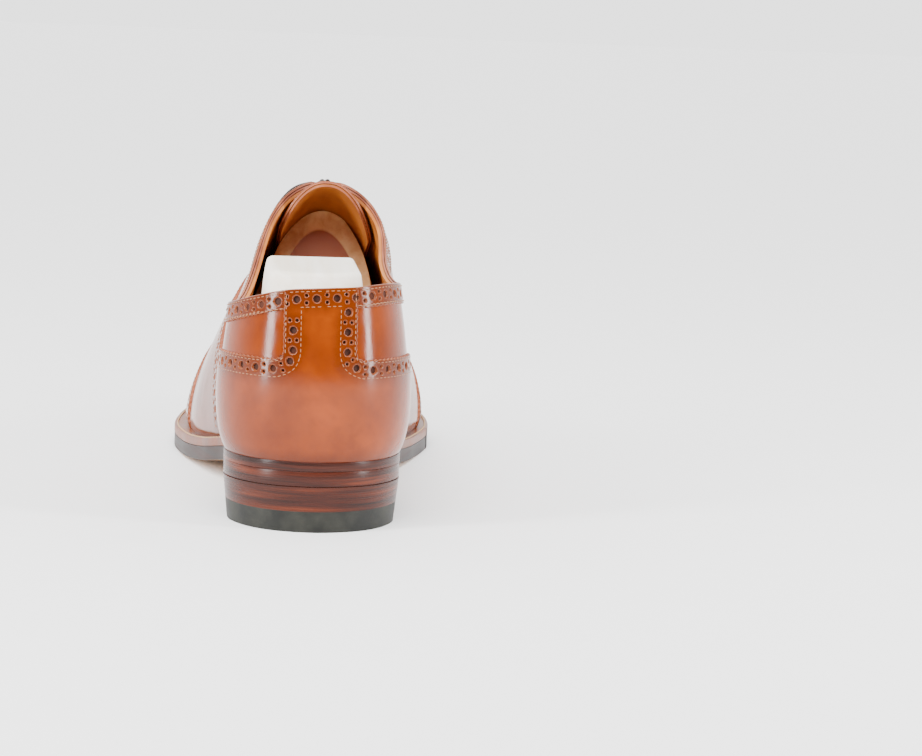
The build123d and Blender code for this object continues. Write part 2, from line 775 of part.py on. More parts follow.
def make_tree():
    pivot_y, pivot_z = TREE_PIVOT
    block_x = HEEL_X + BLOCK_SHIFT
    with BuildPart() as forepart:
        add(instep_core(TREE_DEPTH, TREE_TOE))
        add(band(INSOLE + SOCK + 0.3, 2 * REACH), mode=Mode.INTERSECT)
        add(tree_neck(), mode=Mode.INTERSECT)
        with BuildSketch(Plane.YZ):
            with BuildLine():
                Polyline(*TREE_FACE, (REACH * 2, 110), (REACH * 2, 0), (TREE_FACE[0][0], 0), close=True)
            make_face()
        extrude(amount=REACH, both=True, mode=Mode.INTERSECT)
        with Locations((HEEL_X, pivot_y - 10, pivot_z)):
            Box(*EYE_ROOM, mode=Mode.SUBTRACT)
        with Locations(Plane(origin=(HEEL_X, pivot_y, pivot_z), z_dir=(1, 0, 0))):
            Cylinder(PIN_RADIUS + 0.02, PIN_LENGTH + 1, mode=Mode.SUBTRACT)
    piece("tree_forepart", forepart.part)

    with BuildPart() as pin:
        with Locations(Plane(origin=(HEEL_X, pivot_y, pivot_z), z_dir=(1, 0, 0))):
            Cylinder(PIN_RADIUS, PIN_LENGTH)
    piece("tree_hinge_pin", pin.part)

    along = Plane(origin=(HEEL_X, pivot_y, pivot_z), z_dir=(0, -1, 0))
    with BuildPart() as tube:
        with BuildSketch(along.offset(6)):
            Circle(TUBE_RADIUS)
            Circle(TUBE_RADIUS - TUBE_WALL, mode=Mode.SUBTRACT)
        extrude(amount=TUBE_LENGTH - 6)
    piece("tree_tube", tube.part)
    with BuildPart() as eye:
        with BuildSketch(along.offset(-4)):
            Rectangle(EYE, EYE)
        extrude(amount=9.9)
        with BuildSketch(along.offset(5.9)):
            Circle(TUBE_RADIUS - TUBE_WALL)
        extrude(amount=8)
        with Locations(Plane(origin=(HEEL_X, pivot_y, pivot_z), z_dir=(1, 0, 0))):
            Cylinder(PIN_RADIUS + RUNNING, PIN_LENGTH + 1, mode=Mode.SUBTRACT)
    piece("tree_tube_eye", eye.part)

    bore_radius = TUBE_RADIUS + 0.3
    tube_end = pivot_y - TUBE_LENGTH
    bore_end = tube_end - BORE_ROOM
    block_front = -80.0
    with BuildPart() as block:
        for z, half_width, back, front in BLOCK_SECTIONS:
            with BuildSketch(Plane.XY.offset(z)):
                with BuildLine():
                    nose = 0.62 * half_width
                    Polyline(
                        (block_x - half_width, back + 1.3 * nose),
                        (block_x - half_width, front),
                        (block_x + half_width, front),
                        (block_x + half_width, back + 1.3 * nose),
                    )
                    Bezier(
                        (block_x + half_width, back + 1.3 * nose),
                        (block_x + half_width, back + 0.3 * nose),
                        (block_x + nose, back),
                        (block_x, back),
                    )
                    Bezier(
                        (block_x, back),
                        (block_x - nose, back),
                        (block_x - half_width, back + 0.3 * nose),
                        (block_x - half_width, back + 1.3 * nose),
                    )
                make_face()
        loft()
        top_start, top_end = BLOCK_TOP
        with BuildSketch(Plane.YZ):
            with BuildLine():
                Polyline(top_start, top_end, (-60, 95), (-60, 20), (-160, 20), (-160, 92), close=True)
            make_face()
        extrude(amount=REACH, both=True, mode=Mode.INTERSECT)
        fillet(block.faces().sort_by(Axis.Z)[-1].edges(), BLOCK_FILLET)
        fillet(block.edges().group_by(Axis.Z)[0], 2.5)
        with BuildSketch(along.offset(pivot_y - block_front)):
            Circle(bore_radius)
        extrude(amount=block_front - bore_end, mode=Mode.SUBTRACT)
    piece("tree_heel_block", block.part)

    spring_length = tube_end - bore_end - 0.2
    with BuildPart() as spring:
        with BuildLine():
            coil = Helix(
                pitch=(spring_length - 1.0) / 5,
                height=spring_length - 1.0,
                radius=TUBE_RADIUS - TUBE_WALL / 2 - 0.2,
                center=(HEEL_X, tube_end - 0.6, pivot_z),
                direction=(0, -1, 0),
            )
        with BuildSketch(Plane(origin=coil @ 0, z_dir=coil % 0)):
            Circle(0.45)
        sweep()
    piece("tree_spring", spring.part)


def tree_neck():
    """The forepart's arch at the instep, and all the room in front of where it widens."""
    with BuildPart() as neck:
        for y, spread in ((-60, 1.0), (TREE_ARCH_END, 1.0), (30, 2.4)):
            centre = ridge(y) - 1
            side_points = [(half * spread, z) for half, z in TREE_ARCH]
            left = [(centre - r, z) for r, z in side_points]
            right = [(centre + r, z) for r, z in reversed(side_points)]
            with BuildSketch(Plane(origin=(0, y, 0), x_dir=(1, 0, 0), z_dir=(0, -1, 0))):
                with BuildLine():
                    Spline(*left, (centre, TREE_CROWN), *right)
                    Polyline(right[-1], (right[-1][0], 0), (left[0][0], 0), left[0])
                make_face()
        loft(ruled=True)
        with Locations((0, 30 + REACH, REACH)):
            Box(2 * REACH, 2 * REACH, 2 * REACH)
    return neck.part


# ---------------------------------------------------------------- eyelets and laces


def lace_along(points, bend):
    """A round lace that follows straight runs with rounded corners."""
    with BuildPart() as lace:
        with BuildLine() as route:
            FilletPolyline(*points, radius=bend)
        with BuildSketch(Plane(origin=route.line @ 0, z_dir=route.line % 0)):
            Circle(LACE / 2)
        sweep()
    return lace.part


def above(frame, lift):
    """A point on a surface frame's normal."""
    return frame.origin + frame.z_dir * lift


def make_lacing(skin, frames):
    """The eyelets, the bars of lace across the facings, and the bow."""
    with BuildPart() as eyelets:
        for frame in frames:
            with BuildSketch(frame.offset(-LINING_DEPTH[1])):
                Circle(EYELET_RADIUS - 0.05)
                Circle(EYELET_RADIUS - 0.35, mode=Mode.SUBTRACT)
            extrude(amount=LINING_DEPTH[1] - 0.4)
            with BuildSketch(frame.offset(-LINING_DEPTH[1] - 0.25)):
                Circle(EYELET_RADIUS + 0.6)
                Circle(EYELET_RADIUS - 0.35, mode=Mode.SUBTRACT)
            extrude(amount=0.25)
    piece("eyelets", eyelets.part)

    pairs = list(zip(frames[::2], frames[1::2]))
    with BuildPart() as bars:
        for left, right in pairs[1:]:
            y = left.origin.Y
            crown = [above(surface_frame(skin, ridge(y) + x, y), BAR_LIFT) for x in (-5, 5)]
            points = [above(left, -LINING_DEPTH[1]), above(left, 1.9), *crown]
            points += [above(right, 1.9), above(right, -LINING_DEPTH[1])]
            add(lace_along(points, 1.2))
    piece("lace_bars", bars.part)

    knot_x, knot_y, knot_z = KNOT_SPOT
    with BuildPart() as knot:
        with Locations(Plane(origin=KNOT_SPOT, x_dir=(1, 0, 0), z_dir=KNOT_NORMAL)):
            Box(*KNOT_SIZE)
        fillet(knot.edges(), 1.2)
        for side, frame in zip((LATERAL, MEDIAL), pairs[0]):
            inside = (knot_x + side * (KNOT_SIZE[0] / 2 - 1), knot_y, knot_z)
            add(lace_along([above(frame, -LINING_DEPTH[1]), above(frame, 1.7), inside], 1.2))
    piece("lace_knot", knot.part)

    piece("lace_loop_lateral", lace_along(LOOP_LATERAL, 3.0))
    piece("lace_loop_medial", lace_along(LOOP_MEDIAL, 3.0))
    for word, points in (("lateral", END_LATERAL), ("medial", END_MEDIAL)):
        piece(f"lace_end_{word}", lace_along(points, 2.0))
        last = Vector(points[-1])
        away = (last - Vector(points[-2])).normalized()
        with BuildPart() as aglet:
            with BuildSketch(Plane(origin=last + away * 0.05, z_dir=away)):
                Circle(AGLET_RADIUS)
            extrude(amount=AGLET_LENGTH, taper=1)
        piece(f"aglet_{word}", aglet.part)


if __name__ == "__main__":
    os.makedirs("parts", exist_ok=True)
    make_tongue()
    make_tree()
    make_bottom()
    make_heel()
    skin = layer((0, UPPER))
    frames = [surface_frame(skin, x, y) for x, y in eyelet_spots()]
    make_upper(skin, frames)
    make_lacing(skin, frames)
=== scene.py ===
"""The looks of a left full-brogue oxford shoe on its wooden tree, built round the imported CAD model.

Lengths are in millimetres until they reach a mesh, a curve, a light or the camera, which are in metres.
The upper is one smooth skin, lofted through profiles ("ribs"). A place on it is a pair of numbers: a, which
counts ribs from the back of the heel (0) to the toe (12), and w, from the lateral foot of a rib (-1) over the
ridge (0) to the medial foot (1). Each leather panel is a stretch of the skin, cut out along its seams.
"""

from math import cos, pi, radians, sin

import bmesh
import bpy
import numpy as np
from mathutils import Matrix, Vector


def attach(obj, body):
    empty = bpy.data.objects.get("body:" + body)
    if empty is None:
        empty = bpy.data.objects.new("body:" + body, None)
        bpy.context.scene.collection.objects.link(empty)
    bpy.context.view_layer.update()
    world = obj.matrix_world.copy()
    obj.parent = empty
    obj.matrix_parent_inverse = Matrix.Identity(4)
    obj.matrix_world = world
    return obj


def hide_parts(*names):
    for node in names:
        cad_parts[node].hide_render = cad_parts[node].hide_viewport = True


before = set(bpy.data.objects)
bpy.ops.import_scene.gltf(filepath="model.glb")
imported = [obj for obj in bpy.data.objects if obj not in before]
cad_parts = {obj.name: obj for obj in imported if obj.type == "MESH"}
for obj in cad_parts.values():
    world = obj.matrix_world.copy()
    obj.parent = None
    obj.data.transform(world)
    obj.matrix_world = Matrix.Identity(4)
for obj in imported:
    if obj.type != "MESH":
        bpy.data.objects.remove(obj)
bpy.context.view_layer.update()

MM = 0.001
LATERAL, MEDIAL = -1, 1
SIDE_NAMES = ("lateral", "medial")

# How deep each layer lies under the skin. Overlays stand proud of it, so their depth is below zero.
QUARTER = (0.4, 1.45)
COLLAR_STRIP = (-0.35, 0.45)
FACING_STRIP = (-0.55, 0.45)
COUNTER = (-0.75, 0.45)
VAMP = (-0.95, 0.45)
TOE_CAP = (-1.75, -0.9)
LINING = (1.5, 2.9)
TONGUE = (4.3, 5.4)
TONGUE_LINING = (5.45, 6.6)

# Seams and edges, as side views (y, height) unless a name says otherwise.
BACK_TOPLINE = [(-170, 87.5), (-150, 87.4), (-146.5, 87.2)]
FRONT_TOPLINE = [(-36, 112.5), (-26, 118)]
LATERAL_SAG = [(-137, 83.5), (-106, 77.5), (-86, 79), (-66, 89), (-50, 102)]
MEDIAL_SAG = [(-137, 88), (-106, 86.5), (-86, 88.5), (-66, 95), (-50, 104.5)]
LATERAL_TOPLINE = BACK_TOPLINE + LATERAL_SAG + FRONT_TOPLINE
MEDIAL_TOPLINE = BACK_TOPLINE + MEDIAL_SAG + FRONT_TOPLINE
COUNTER_EDGE = [(-170, 62), (-140, 62), (-112, 61), (-80, 57), (-52, 50), (-20, 38), (10, 26)]
COUNTER_TAB = 13.0
BACK_Y = -140.0  # only the heel's back lies behind this
TAB_FLARE = 2.5
TOPLINE_BLEND = 8.0  # over the heel's back, from the lateral topline to the medial one
VAMP_EDGE = [(8, -40), (38, -22), (60, -6), (84, 8), (118, 14)]  # height, y
COLLAR = 7.5
COLLAR_RISE_START, COLLAR_RISE_LENGTH = -92.0, 40.0  # where the topline gets steep
FACING, FACING_BACK = 19.0, -65.0
SLIT, SLIT_BACK = 5.0, -70.0
OPENING_CORNER = 5.0
THROAT = 10.0
WING_PLAN = [(-64, 4), (-44, 34), (-24, 66), (-8, 80)]  # x, y
WING_PEAK = 58.0
WING_SHIFT, WING_BLEND = 4.0, 20.0  # the medial wing starts this much further forward, off the ridge
TONGUE_BACK, TONGUE_FRONT, TONGUE_HALF_WIDTH = -42.0, 24.0, 21.0
TONGUE_RIDGE_Y = -10.0  # the straight tongue lies along the ridge's x at this y
TONGUE_REAR_CORNER, TONGUE_FRONT_CORNER = 9.0, 0.5
TONGUE_LOWEST = 60.0
SEAT_CURVE = [
    (-160, 25.8), (-112, 25.0), (-76, 22.6), (-44, 17.6), (-10, 11.9),
    (25, 9.35), (52, 9.3), (88, 11.2), (122, 15.6), (160, 23.5),
]
WELT = 3.5
SOLE = 5.6
BREAST = -74.5

# Broguing and stitching.
BAND_MIDDLE = 3.7  # from a panel's edge to the middle of its row of holes
HOLE_RADIUS = 1.3
HOLE_PITCH = 7.0
DOT_RADIUS = 0.58
DOT_SPREAD = 1.3
PINK_PITCH, PINK_DEPTH = 2.2, 0.4
MEDALLION_Y, MEDALLION_RIDGE_Y = 112.0, 114.0
MEDALLION_REACH = 0.55  # how far down the sides, as w, its holes may lie
STITCH_ROWS = (1.1, 6.5)
STITCH_PITCH, STITCH_LENGTH, STITCH_RADIUS = 1.9, 1.3, 0.18
WELT_STITCH_PITCH, WELT_STITCH_LENGTH, WELT_STITCH_RADIUS = 3.3, 2.5, 0.36
WELT_STITCH_INSET = 1.4
NARROWEST_STITCHED_WELT = 2.4
EYELET_ROWS = [-19.0 + 6.2 * row for row in range(5)]
EYELET_RADIUS = 1.6
EYELET_INSET = 9.5  # from the slit's edge
LACE = 2.0

# The bow's free laces, from the knot outwards.
LOOP_LATERAL = [
    (-0.0026, -0.0185, 0.1154), (-0.0070, -0.0205, 0.1148), (-0.0115, -0.0210, 0.1120),
    (-0.0155, -0.0185, 0.1065), (-0.0185, -0.0135, 0.0998), (-0.0205, -0.0070, 0.0930),
    (-0.0205, -0.0010, 0.0904), (-0.0175, 0.0015, 0.0946), (-0.0145, -0.0025, 0.1024),
    (-0.0102, -0.0090, 0.1104), (-0.0026, -0.0147, 0.1136),
]
LOOP_MEDIAL = [
    (0.0070, -0.0185, 0.1154), (0.0115, -0.0215, 0.1141), (0.0180, -0.0220, 0.1082),
    (0.0242, -0.0180, 0.0962), (0.0275, -0.0110, 0.0848), (0.0255, -0.0045, 0.0872),
    (0.0200, -0.0050, 0.0986), (0.0142, -0.0099, 0.1087), (0.0096, -0.0130, 0.1137),
    (0.0070, -0.0147, 0.1136),
]
END_LATERAL = [
    (0.0007, -0.0129, 0.1136), (-0.0005, -0.0110, 0.1137), (-0.0035, -0.0066, 0.1110),
    (-0.0075, -0.0004, 0.1054), (-0.0135, 0.0060, 0.0946), (-0.0200, 0.0130, 0.0824),
    (-0.0255, 0.0195, 0.0726),
]
END_MEDIAL = [
    (0.0037, -0.0129, 0.1136), (0.0050, -0.0110, 0.1137), (0.0080, -0.0066, 0.1110),
    (0.0125, -0.0004, 0.1051), (0.0185, 0.0060, 0.0938), (0.0245, 0.0130, 0.0820),
    (0.0295, 0.0200, 0.0720),
]
LOOP_LENGTHS = (0.077, 0.083)
END_LENGTHS = (0.060, 0.060)


RIDGE_SLOPE = 0.0227


def ridge(y):
    """The x of the line along the top of the foot."""
    return 1.5 + RIDGE_SLOPE * (y + 50)


HEEL_X, HEEL_Y = -5.0, -112.0
HEEL_FAN = [  # heading, radii on both sides
    (-90, (34.0, 42.3, 35.5, 24)),
    (-60, (33.6, 42.0, 34.6, 24)),
    (-30, (32.4, 41.2, 32.2, 23)),
    (0, (31.3, 40.4, 30.0, 22)),
]
RIBS = [  # x, y, heading, lateral radii, medial radii, heights, welt projections
    (HEEL_X, HEEL_Y, heading, radii, radii, (25, 44, 80, 128), (0.5, 0.5)) for heading, radii in HEEL_FAN
]
RIBS += [
    (-2.0, -80, 0, (31.0, 39.5, 26.0, 12), (27.0, 38.0, 27.0, 12), (23.2, 42, 92, 132), (1.2, 0.8)),
    (ridge(-50), -50, 0, (33.0, 41.5, 26.5, 0), (25.0, 37.5, 28.0, 0), (18.7, 40, 125, 125), (2.6, 1.2)),
    (ridge(-20), -20, 0, (40.5, 46.0, 25.0, 0), (29.0, 40.0, 26.0, 0), (13.5, 38, 114, 114), (4.2, 2.6)),
    (ridge(15), 15, 0, (48.5, 53.5, 25.0, 0), (37.0, 46.0, 25.0, 0), (10.0, 34, 93, 93), (5.2, 4.6)),
    (ridge(45), 45, 0, (51.5, 55.0, 26.0, 0), (44.5, 51.0, 26.0, 0), (9.0, 30, 74, 74), (6.0, 4.8)),
    (ridge(68), 68, 25, (49.0, 51.0, 26.0, 0), (47.5, 50.5, 27.0, 0), (10.0, 28, 61, 61), (5.8, 5.2)),
    (ridge(88), 88, 52, (45.5, 47.0, 23.0, 0), (45.5, 47.0, 24.0, 0), (14.0, 29, 54, 54), (5.5, 5.5)),
    (ridge(100), 100, 75, (42.3, 43.3, 21.0, 0), (42.3, 43.3, 21.0, 0), (18.3, 31, 50.5, 50.5), (5.6, 5.6)),
    (ridge(104), 104, 90, (40.3, 41.0, 20.0, 0), (40.3, 41.0, 20.0, 0), (19.6, 32, 50, 50), (5.7, 5.7)),
]
LAST_RIB = len(RIBS) - 1
STRAIGHT_RIBS = (4, 8)  # the ribs that stand straight across the shoe
RIB_FOOT = 3.0  # how far a rib runs on below the seat
DENSE = np.linspace(0, LAST_RIB, 1201)  # rib numbers close enough together to measure lengths with


# ---------------------------------------------------------------- the skin


def rib_table(side):
    """The ribs of one side as rows of numbers: x, y, heading, four radii, four heights, projection."""
    rows = []
    for x, y, heading, lateral, medial, heights, projections in RIBS:
        radii, projection = (lateral, projections[0]) if side == LATERAL else (medial, projections[1])
        rows.append((x, y, heading, *radii, *heights, projection))
    return np.array(rows, float)


TABLES = {side: rib_table(side) for side in (LATERAL, MEDIAL)}


def ease(rows, a):
    """The rows of a table at fractional row numbers, smoothly and without overshoot."""
    last = len(rows) - 1
    i = np.clip(np.floor(a).astype(int), 0, last - 1)
    t = (a - i)[:, None]
    before, start, end, after = (rows[np.clip(i + k, 0, last)] for k in (-1, 0, 1, 2))
    steps = (start - before, end - start, after - end)
    slopes = []
    for first, second in zip(steps, steps[1:]):
        product = first * second
        slopes.append(np.where(product > 0, 2 * product / np.where(product > 0, first + second, 1), 0))
    bend = (slopes[0] - steps[1]) * (1 - t) - (slopes[1] - steps[1]) * t
    return start + (end - start) * t + bend * t * (1 - t)


def smooth_line(knots, x):
    """The height at x of a smooth line through knots."""
    xs, ys = np.array(knots, float).T
    tangents = np.gradient(ys, xs)
    i = np.clip(np.searchsorted(xs, x) - 1, 0, len(xs) - 2)
    width = xs[i + 1] - xs[i]
    t = np.clip((x - xs[i]) / width, 0, 1)
    rise = ys[i + 1] - ys[i]
    bend = (tangents[i] * width - rise) * (1 - t) - (tangents[i + 1] * width - rise) * t
    return ys[i] + rise * t + bend * t * (1 - t)


def seat(y):
    """The height of the curve on which the upper sits."""
    return smooth_line(SEAT_CURVE, y)


def out_direction(headings, side):
    """The level directions in which ribs point."""
    angle = np.radians(headings)
    slope = np.where(headings > 0, RIDGE_SLOPE, 0)
    along = np.stack([slope, np.ones_like(slope)], 1) / np.hypot(1, slope)[:, None]
    across = np.stack([along[:, 1] * side, -along[:, 0] * side], 1)
    return across * np.cos(angle)[:, None] + along * np.sin(angle)[:, None]


def at_vertices(n):
    """What three segments have in common at their four ends."""
    return np.stack([n[:, 0], (n[:, 0] + n[:, 1]) / 2, (n[:, 1] + n[:, 2]) / 2, n[:, 2]], 1)


def side_skin(a, v, side, depth):
    """Points of one side of the skin, v running from 0 at the foot to 1 at the ridge."""
    rows = ease(TABLES[side], a)
    radii, heights = rows[:, 3:7].copy(), rows[:, 7:11].copy()
    radii[:, 0] -= (radii[:, 1] - radii[:, 0]) * RIB_FOOT / (heights[:, 1] - heights[:, 0])
    heights[:, 0] -= RIB_FOOT
    dr, dz = np.diff(radii, axis=1), np.diff(heights, axis=1)
    length = np.hypot(dr, dz)
    nr, nz = -dz / length, dr / length
    vertex_r, vertex_z = at_vertices(nr), at_vertices(nz)
    scale = depth[:, None] / (vertex_r**2 + vertex_z**2)
    radii, heights = radii + vertex_r * scale, heights + vertex_z * scale
    weights = np.stack([(1 - v) ** 3, 3 * (1 - v) ** 2 * v, 3 * (1 - v) * v**2, v**3], 1)
    r, z = (radii * weights).sum(1), (heights * weights).sum(1)
    xy = rows[:, :2] + out_direction(rows[:, 2], side) * r[:, None]
    return np.column_stack([xy, z])


def skin(a, w, depth=0.0):
    """Points of the upper at a depth under its surface."""
    a, w = np.atleast_1d(np.asarray(a, float)), np.atleast_1d(np.asarray(w, float))
    depth = np.broadcast_to(depth, a.shape)
    points = np.zeros((len(a), 3))
    for side, pick in ((LATERAL, w < 0), (MEDIAL, w >= 0)):
        points[pick] = side_skin(a[pick], 1 - np.abs(w[pick]), side, depth[pick])
    return points


def skin_normal(a, w):
    """The skin's outward normals."""
    step = 0.004
    inner_a = np.clip(a, step, LAST_RIB - step)
    inner_w = np.clip(w, step - 1, 1 - step)
    along = skin(inner_a + step, inner_w) - skin(inner_a - step, inner_w)
    across = skin(inner_a, inner_w + step) - skin(inner_a, inner_w - step)
    normal = np.cross(across, along)
    return normal / np.linalg.norm(normal, axis=1, keepdims=True)


def arc_lengths(points):
    """How far along a run each of its points is."""
    return np.concatenate([[0], np.cumsum(np.linalg.norm(np.diff(points, axis=0), axis=1))])


def base_grid():
    """The whole skin as an even grid of triangles. Its two sides share the ridge, the back and the toe."""
    lengths = arc_lengths(skin(DENSE, np.full(len(DENSE), MEASURED_AT)))
    count = int(lengths[-1] / BASE_STEP)
    rows = np.interp(np.linspace(0, lengths[-1], count + 1), lengths, DENSE)
    rows[0], rows[-1] = 0, LAST_RIB
    half = int(HALF_GIRTH / BASE_STEP)
    fine = np.linspace(0, 1, 81)
    grid_a, grid_w = [], []
    for a in rows:
        sides = []
        for side in (LATERAL, MEDIAL):
            around = arc_lengths(side_skin(np.full(len(fine), a), 1 - fine, side, np.zeros(len(fine))))
            sides.append(side * np.interp(np.linspace(0, around[-1], half + 1), around, fine))
        grid_w.append(np.concatenate([sides[0][::-1], sides[1][1:]]))
        grid_a.append(np.full(2 * half + 1, a))
    columns = 2 * half + 1
    index = np.arange(len(rows) * columns).reshape(len(rows), columns)
    for row in (0, -1):
        index[row, half + 1:] = index[row, :half][::-1]
    corners = index[:-1, :-1], index[1:, :-1], index[1:, 1:], index[:-1, 1:]
    p, q, r, s = (corner.ravel() for corner in corners)
    tris = np.concatenate([np.stack([p, q, r], 1), np.stack([p, r, s], 1)])
    return np.concatenate(grid_a), np.concatenate(grid_w), tris


def between(a, w, first, second, share):
    """Places part of the way from one to another. The skin's back and toe belong to both of its sides."""
    a1, w1, a2, w2 = a[first], w[first], a[second], w[second]
    across = w1 * w2 < 0
    w1 = np.where(across & ((a1 <= 0) | (a1 >= LAST_RIB)), -w1, w1)
    across = w1 * w2 < 0
    w2 = np.where(across & ((a2 <= 0) | (a2 >= LAST_RIB)), -w2, w2)
    return a1 + (a2 - a1) * share, w1 + (w2 - w1) * share


TRIANGLE_SIDES = [[0, 1], [1, 2], [2, 0]]
BASE_STEP = 1.5
HALF_GIRTH = 120.0  # about the longest way from the foot of a side up to the ridge
MEASURED_AT = -0.7  # the w at which the grid's rows are spaced evenly
BASE_A, BASE_W, BASE_TRIS = base_grid()
BASE_POINTS = skin(BASE_A, BASE_W)


# ---------------------------------------------------------------- seams


def contours(values):
    """The lines along which values on the base grid cross zero, each as places (a, w) in order."""
    values = np.where(values == 0, 1e-9, values)
    edges = np.sort(BASE_TRIS[:, TRIANGLE_SIDES], axis=2)
    crossed = values[edges[..., 0]] * values[edges[..., 1]] < 0
    picked = crossed.sum(1) == 2
    pairs = edges[picked][crossed[picked]].reshape(-1, 2, 2)
    keys = pairs[..., 0].astype(np.int64) * len(values) + pairs[..., 1]
    neighbours = {}
    for first, second in keys.tolist():
        neighbours.setdefault(first, []).append(second)
        neighbours.setdefault(second, []).append(first)
    lines, seen = [], set()
    for start in sorted(neighbours, key=lambda key: (len(neighbours[key]), key)):
        if start in seen:
            continue
        line, key = [], start
        while key is not None:
            seen.add(key)
            line.append(key)
            key = next((other for other in neighbours[key] if other not in seen), None)
        if len(line) > 4:
            first, second = np.divmod(np.array(line), len(values))
            share = values[first] / (values[first] - values[second])
            lines.append(between(BASE_A, BASE_W, first, second, share))
    return lines


def slices(count, size):
    """Slices that take up a long array in parts, to save memory."""
    return [slice(start, start + size) for start in range(0, count, size)]


def nearest(points, line):
    """Each point's distance from a line, and how far along the line that is."""
    steps = np.diff(line, axis=0)
    lengths = np.maximum(np.linalg.norm(steps, axis=1), 1e-9)
    along = arc_lengths(line)
    distance, place = np.full(len(points), np.inf), np.zeros(len(points))
    squares = (line**2).sum(1)
    for part in slices(len(points), 20000):
        chunk = points[part]
        closest = (squares - 2 * chunk @ line.T).argmin(1)
        for i in (np.maximum(closest - 1, 0), np.minimum(closest, len(steps) - 1)):
            offset = chunk - line[i]
            share = np.clip((offset * steps[i]).sum(1) / lengths[i] ** 2, 0, 1)
            gap = np.linalg.norm(offset - steps[i] * share[:, None], axis=1)
            closer = gap < distance[part]
            distance[part] = np.where(closer, gap, distance[part])
            place[part] = np.where(closer, along[i] + share * lengths[i], place[part])
    return distance, place


def below_topline(p, w):
    """The two sides' toplines run into each other over the middle of the heel's back."""
    lateral, medial = smooth_line(LATERAL_TOPLINE, p[:, 1]), smooth_line(MEDIAL_TOPLINE, p[:, 1])
    blend = np.clip((p[:, 0] - HEEL_X) / TOPLINE_BLEND + 0.5, 0, 1)
    share = np.where(p[:, 1] < HEEL_Y, blend, w > 0)
    return lateral + (medial - lateral) * share - p[:, 2]


def in_counter(p, w):
    """The low wing round the heel, and the flared tab that rises from it to the topline."""
    over = np.clip(p[:, 2] - COUNTER_EDGE[0][1], 0, TAB_FLARE)
    half_width = COUNTER_TAB + TAB_FLARE - np.sqrt(TAB_FLARE**2 - (TAB_FLARE - over) ** 2)
    tab = np.where(p[:, 1] < HEEL_Y, half_width - np.abs(p[:, 0] - HEEL_X), -99)
    return np.maximum(smooth_line(COUNTER_EDGE, p[:, 1]) - p[:, 2], tab)


def in_front_of_vamp_edge(p, w):
    """In front of the seam that runs from the facings down to the waist of the sole."""
    return p[:, 1] - smooth_line(VAMP_EDGE, p[:, 2])


def in_wing(p, w):
    """In front of the wing cap's edge, which comes to a peak on the ridge."""
    centre = ridge(p[:, 1])
    edge = WING_PLAN + [(ridge(WING_PEAK), WING_PEAK)]
    blend = np.clip(np.abs(p[:, 0] - centre) / WING_BLEND, 0, 1)
    lateral = smooth_line(edge, p[:, 0])
    medial = smooth_line(edge, 2 * centre - p[:, 0]) + WING_SHIFT - WING_SHIFT * (1 - blend)
    return p[:, 1] - np.where(p[:, 0] < centre, lateral, medial)


def in_facing(p, w):
    """In the strip on both sides of the slit that takes the eyelets."""
    return np.minimum(FACING - np.abs(p[:, 0] - ridge(p[:, 1])), p[:, 1] - FACING_BACK)


def in_collar(p, w):
    """Above the lower edge of the strip that follows the topline."""
    low = []
    for line in (LATERAL_TOPLINE, MEDIAL_TOPLINE):
        steep = [np.clip((y - COLLAR_RISE_START) / COLLAR_RISE_LENGTH, 0, 1) for y, z in line]
        shifted = [(y + 0.8 * COLLAR * share, z - COLLAR) for (y, z), share in zip(line, steep)]
        low.append(smooth_line(shifted, p[:, 1]))
    return p[:, 2] - np.where(w < 0, *low)


def outside_slit(p, w):
    """Clear of the gap between the facings."""
    beside = np.abs(p[:, 0] - ridge(p[:, 1])) - SLIT / 2
    return np.maximum.reduce([beside, p[:, 1] - THROAT, SLIT_BACK - p[:, 1]])


def outside_opening(p, w):
    """Clear of the topline and the slit, with a round corner where the one meets the other."""
    short = [np.maximum(OPENING_CORNER - SEAMS[name].distance(p, w), 0) for name in ("top", "slit")]
    return OPENING_CORNER - np.hypot(*short)


def in_tongue(p, w):
    """A plan rectangle with its two rear corners rounded."""
    middle = (TONGUE_BACK + TONGUE_FRONT) / 2
    x, y = np.abs(p[:, 0] - ridge(TONGUE_RIDGE_Y)), p[:, 1] - middle
    length = (TONGUE_FRONT - TONGUE_BACK) / 2
    corner = np.where(y < 0, TONGUE_REAR_CORNER, TONGUE_FRONT_CORNER)
    past_x = np.maximum(x - TONGUE_HALF_WIDTH + corner, 0)
    past_y = np.maximum(np.abs(y) - length + corner, 0)
    return corner - np.hypot(past_x, past_y)


class Seam:
    """A line across the skin, where a rule crosses zero. A rule takes points and their places' w."""

    def __init__(self, rule):
        self.rule = rule
        self.runs = [skin(a, w) for a, w in contours(rule(BASE_POINTS, BASE_W))]

    def distance(self, points, w, pinked=False):
        """How far inside the seam points are, and the same from a saw-toothed edge if it is pinked."""
        best, place = np.full(len(points), np.inf), np.zeros(len(points))
        for run in self.runs:
            gap, along = nearest(points, run)
            place = np.where(gap < best, along, place)
            best = np.minimum(best, gap)
        signed = np.where(self.rule(points, w) > 0, best, -best)
        if pinked:
            signed = signed - PINK_DEPTH * 2 * np.abs((place / PINK_PITCH) % 1 - 0.5)
        return signed


SEAMS = {
    "top": Seam(below_topline),
    "counter": Seam(in_counter),
    "vamp": Seam(in_front_of_vamp_edge),
    "wing": Seam(in_wing),
    "facing": Seam(in_facing),
    "collar": Seam(in_collar),
    "slit": Seam(outside_slit),
    "tongue": Seam(in_tongue),
}
SEAMS["opening"] = Seam(outside_opening)


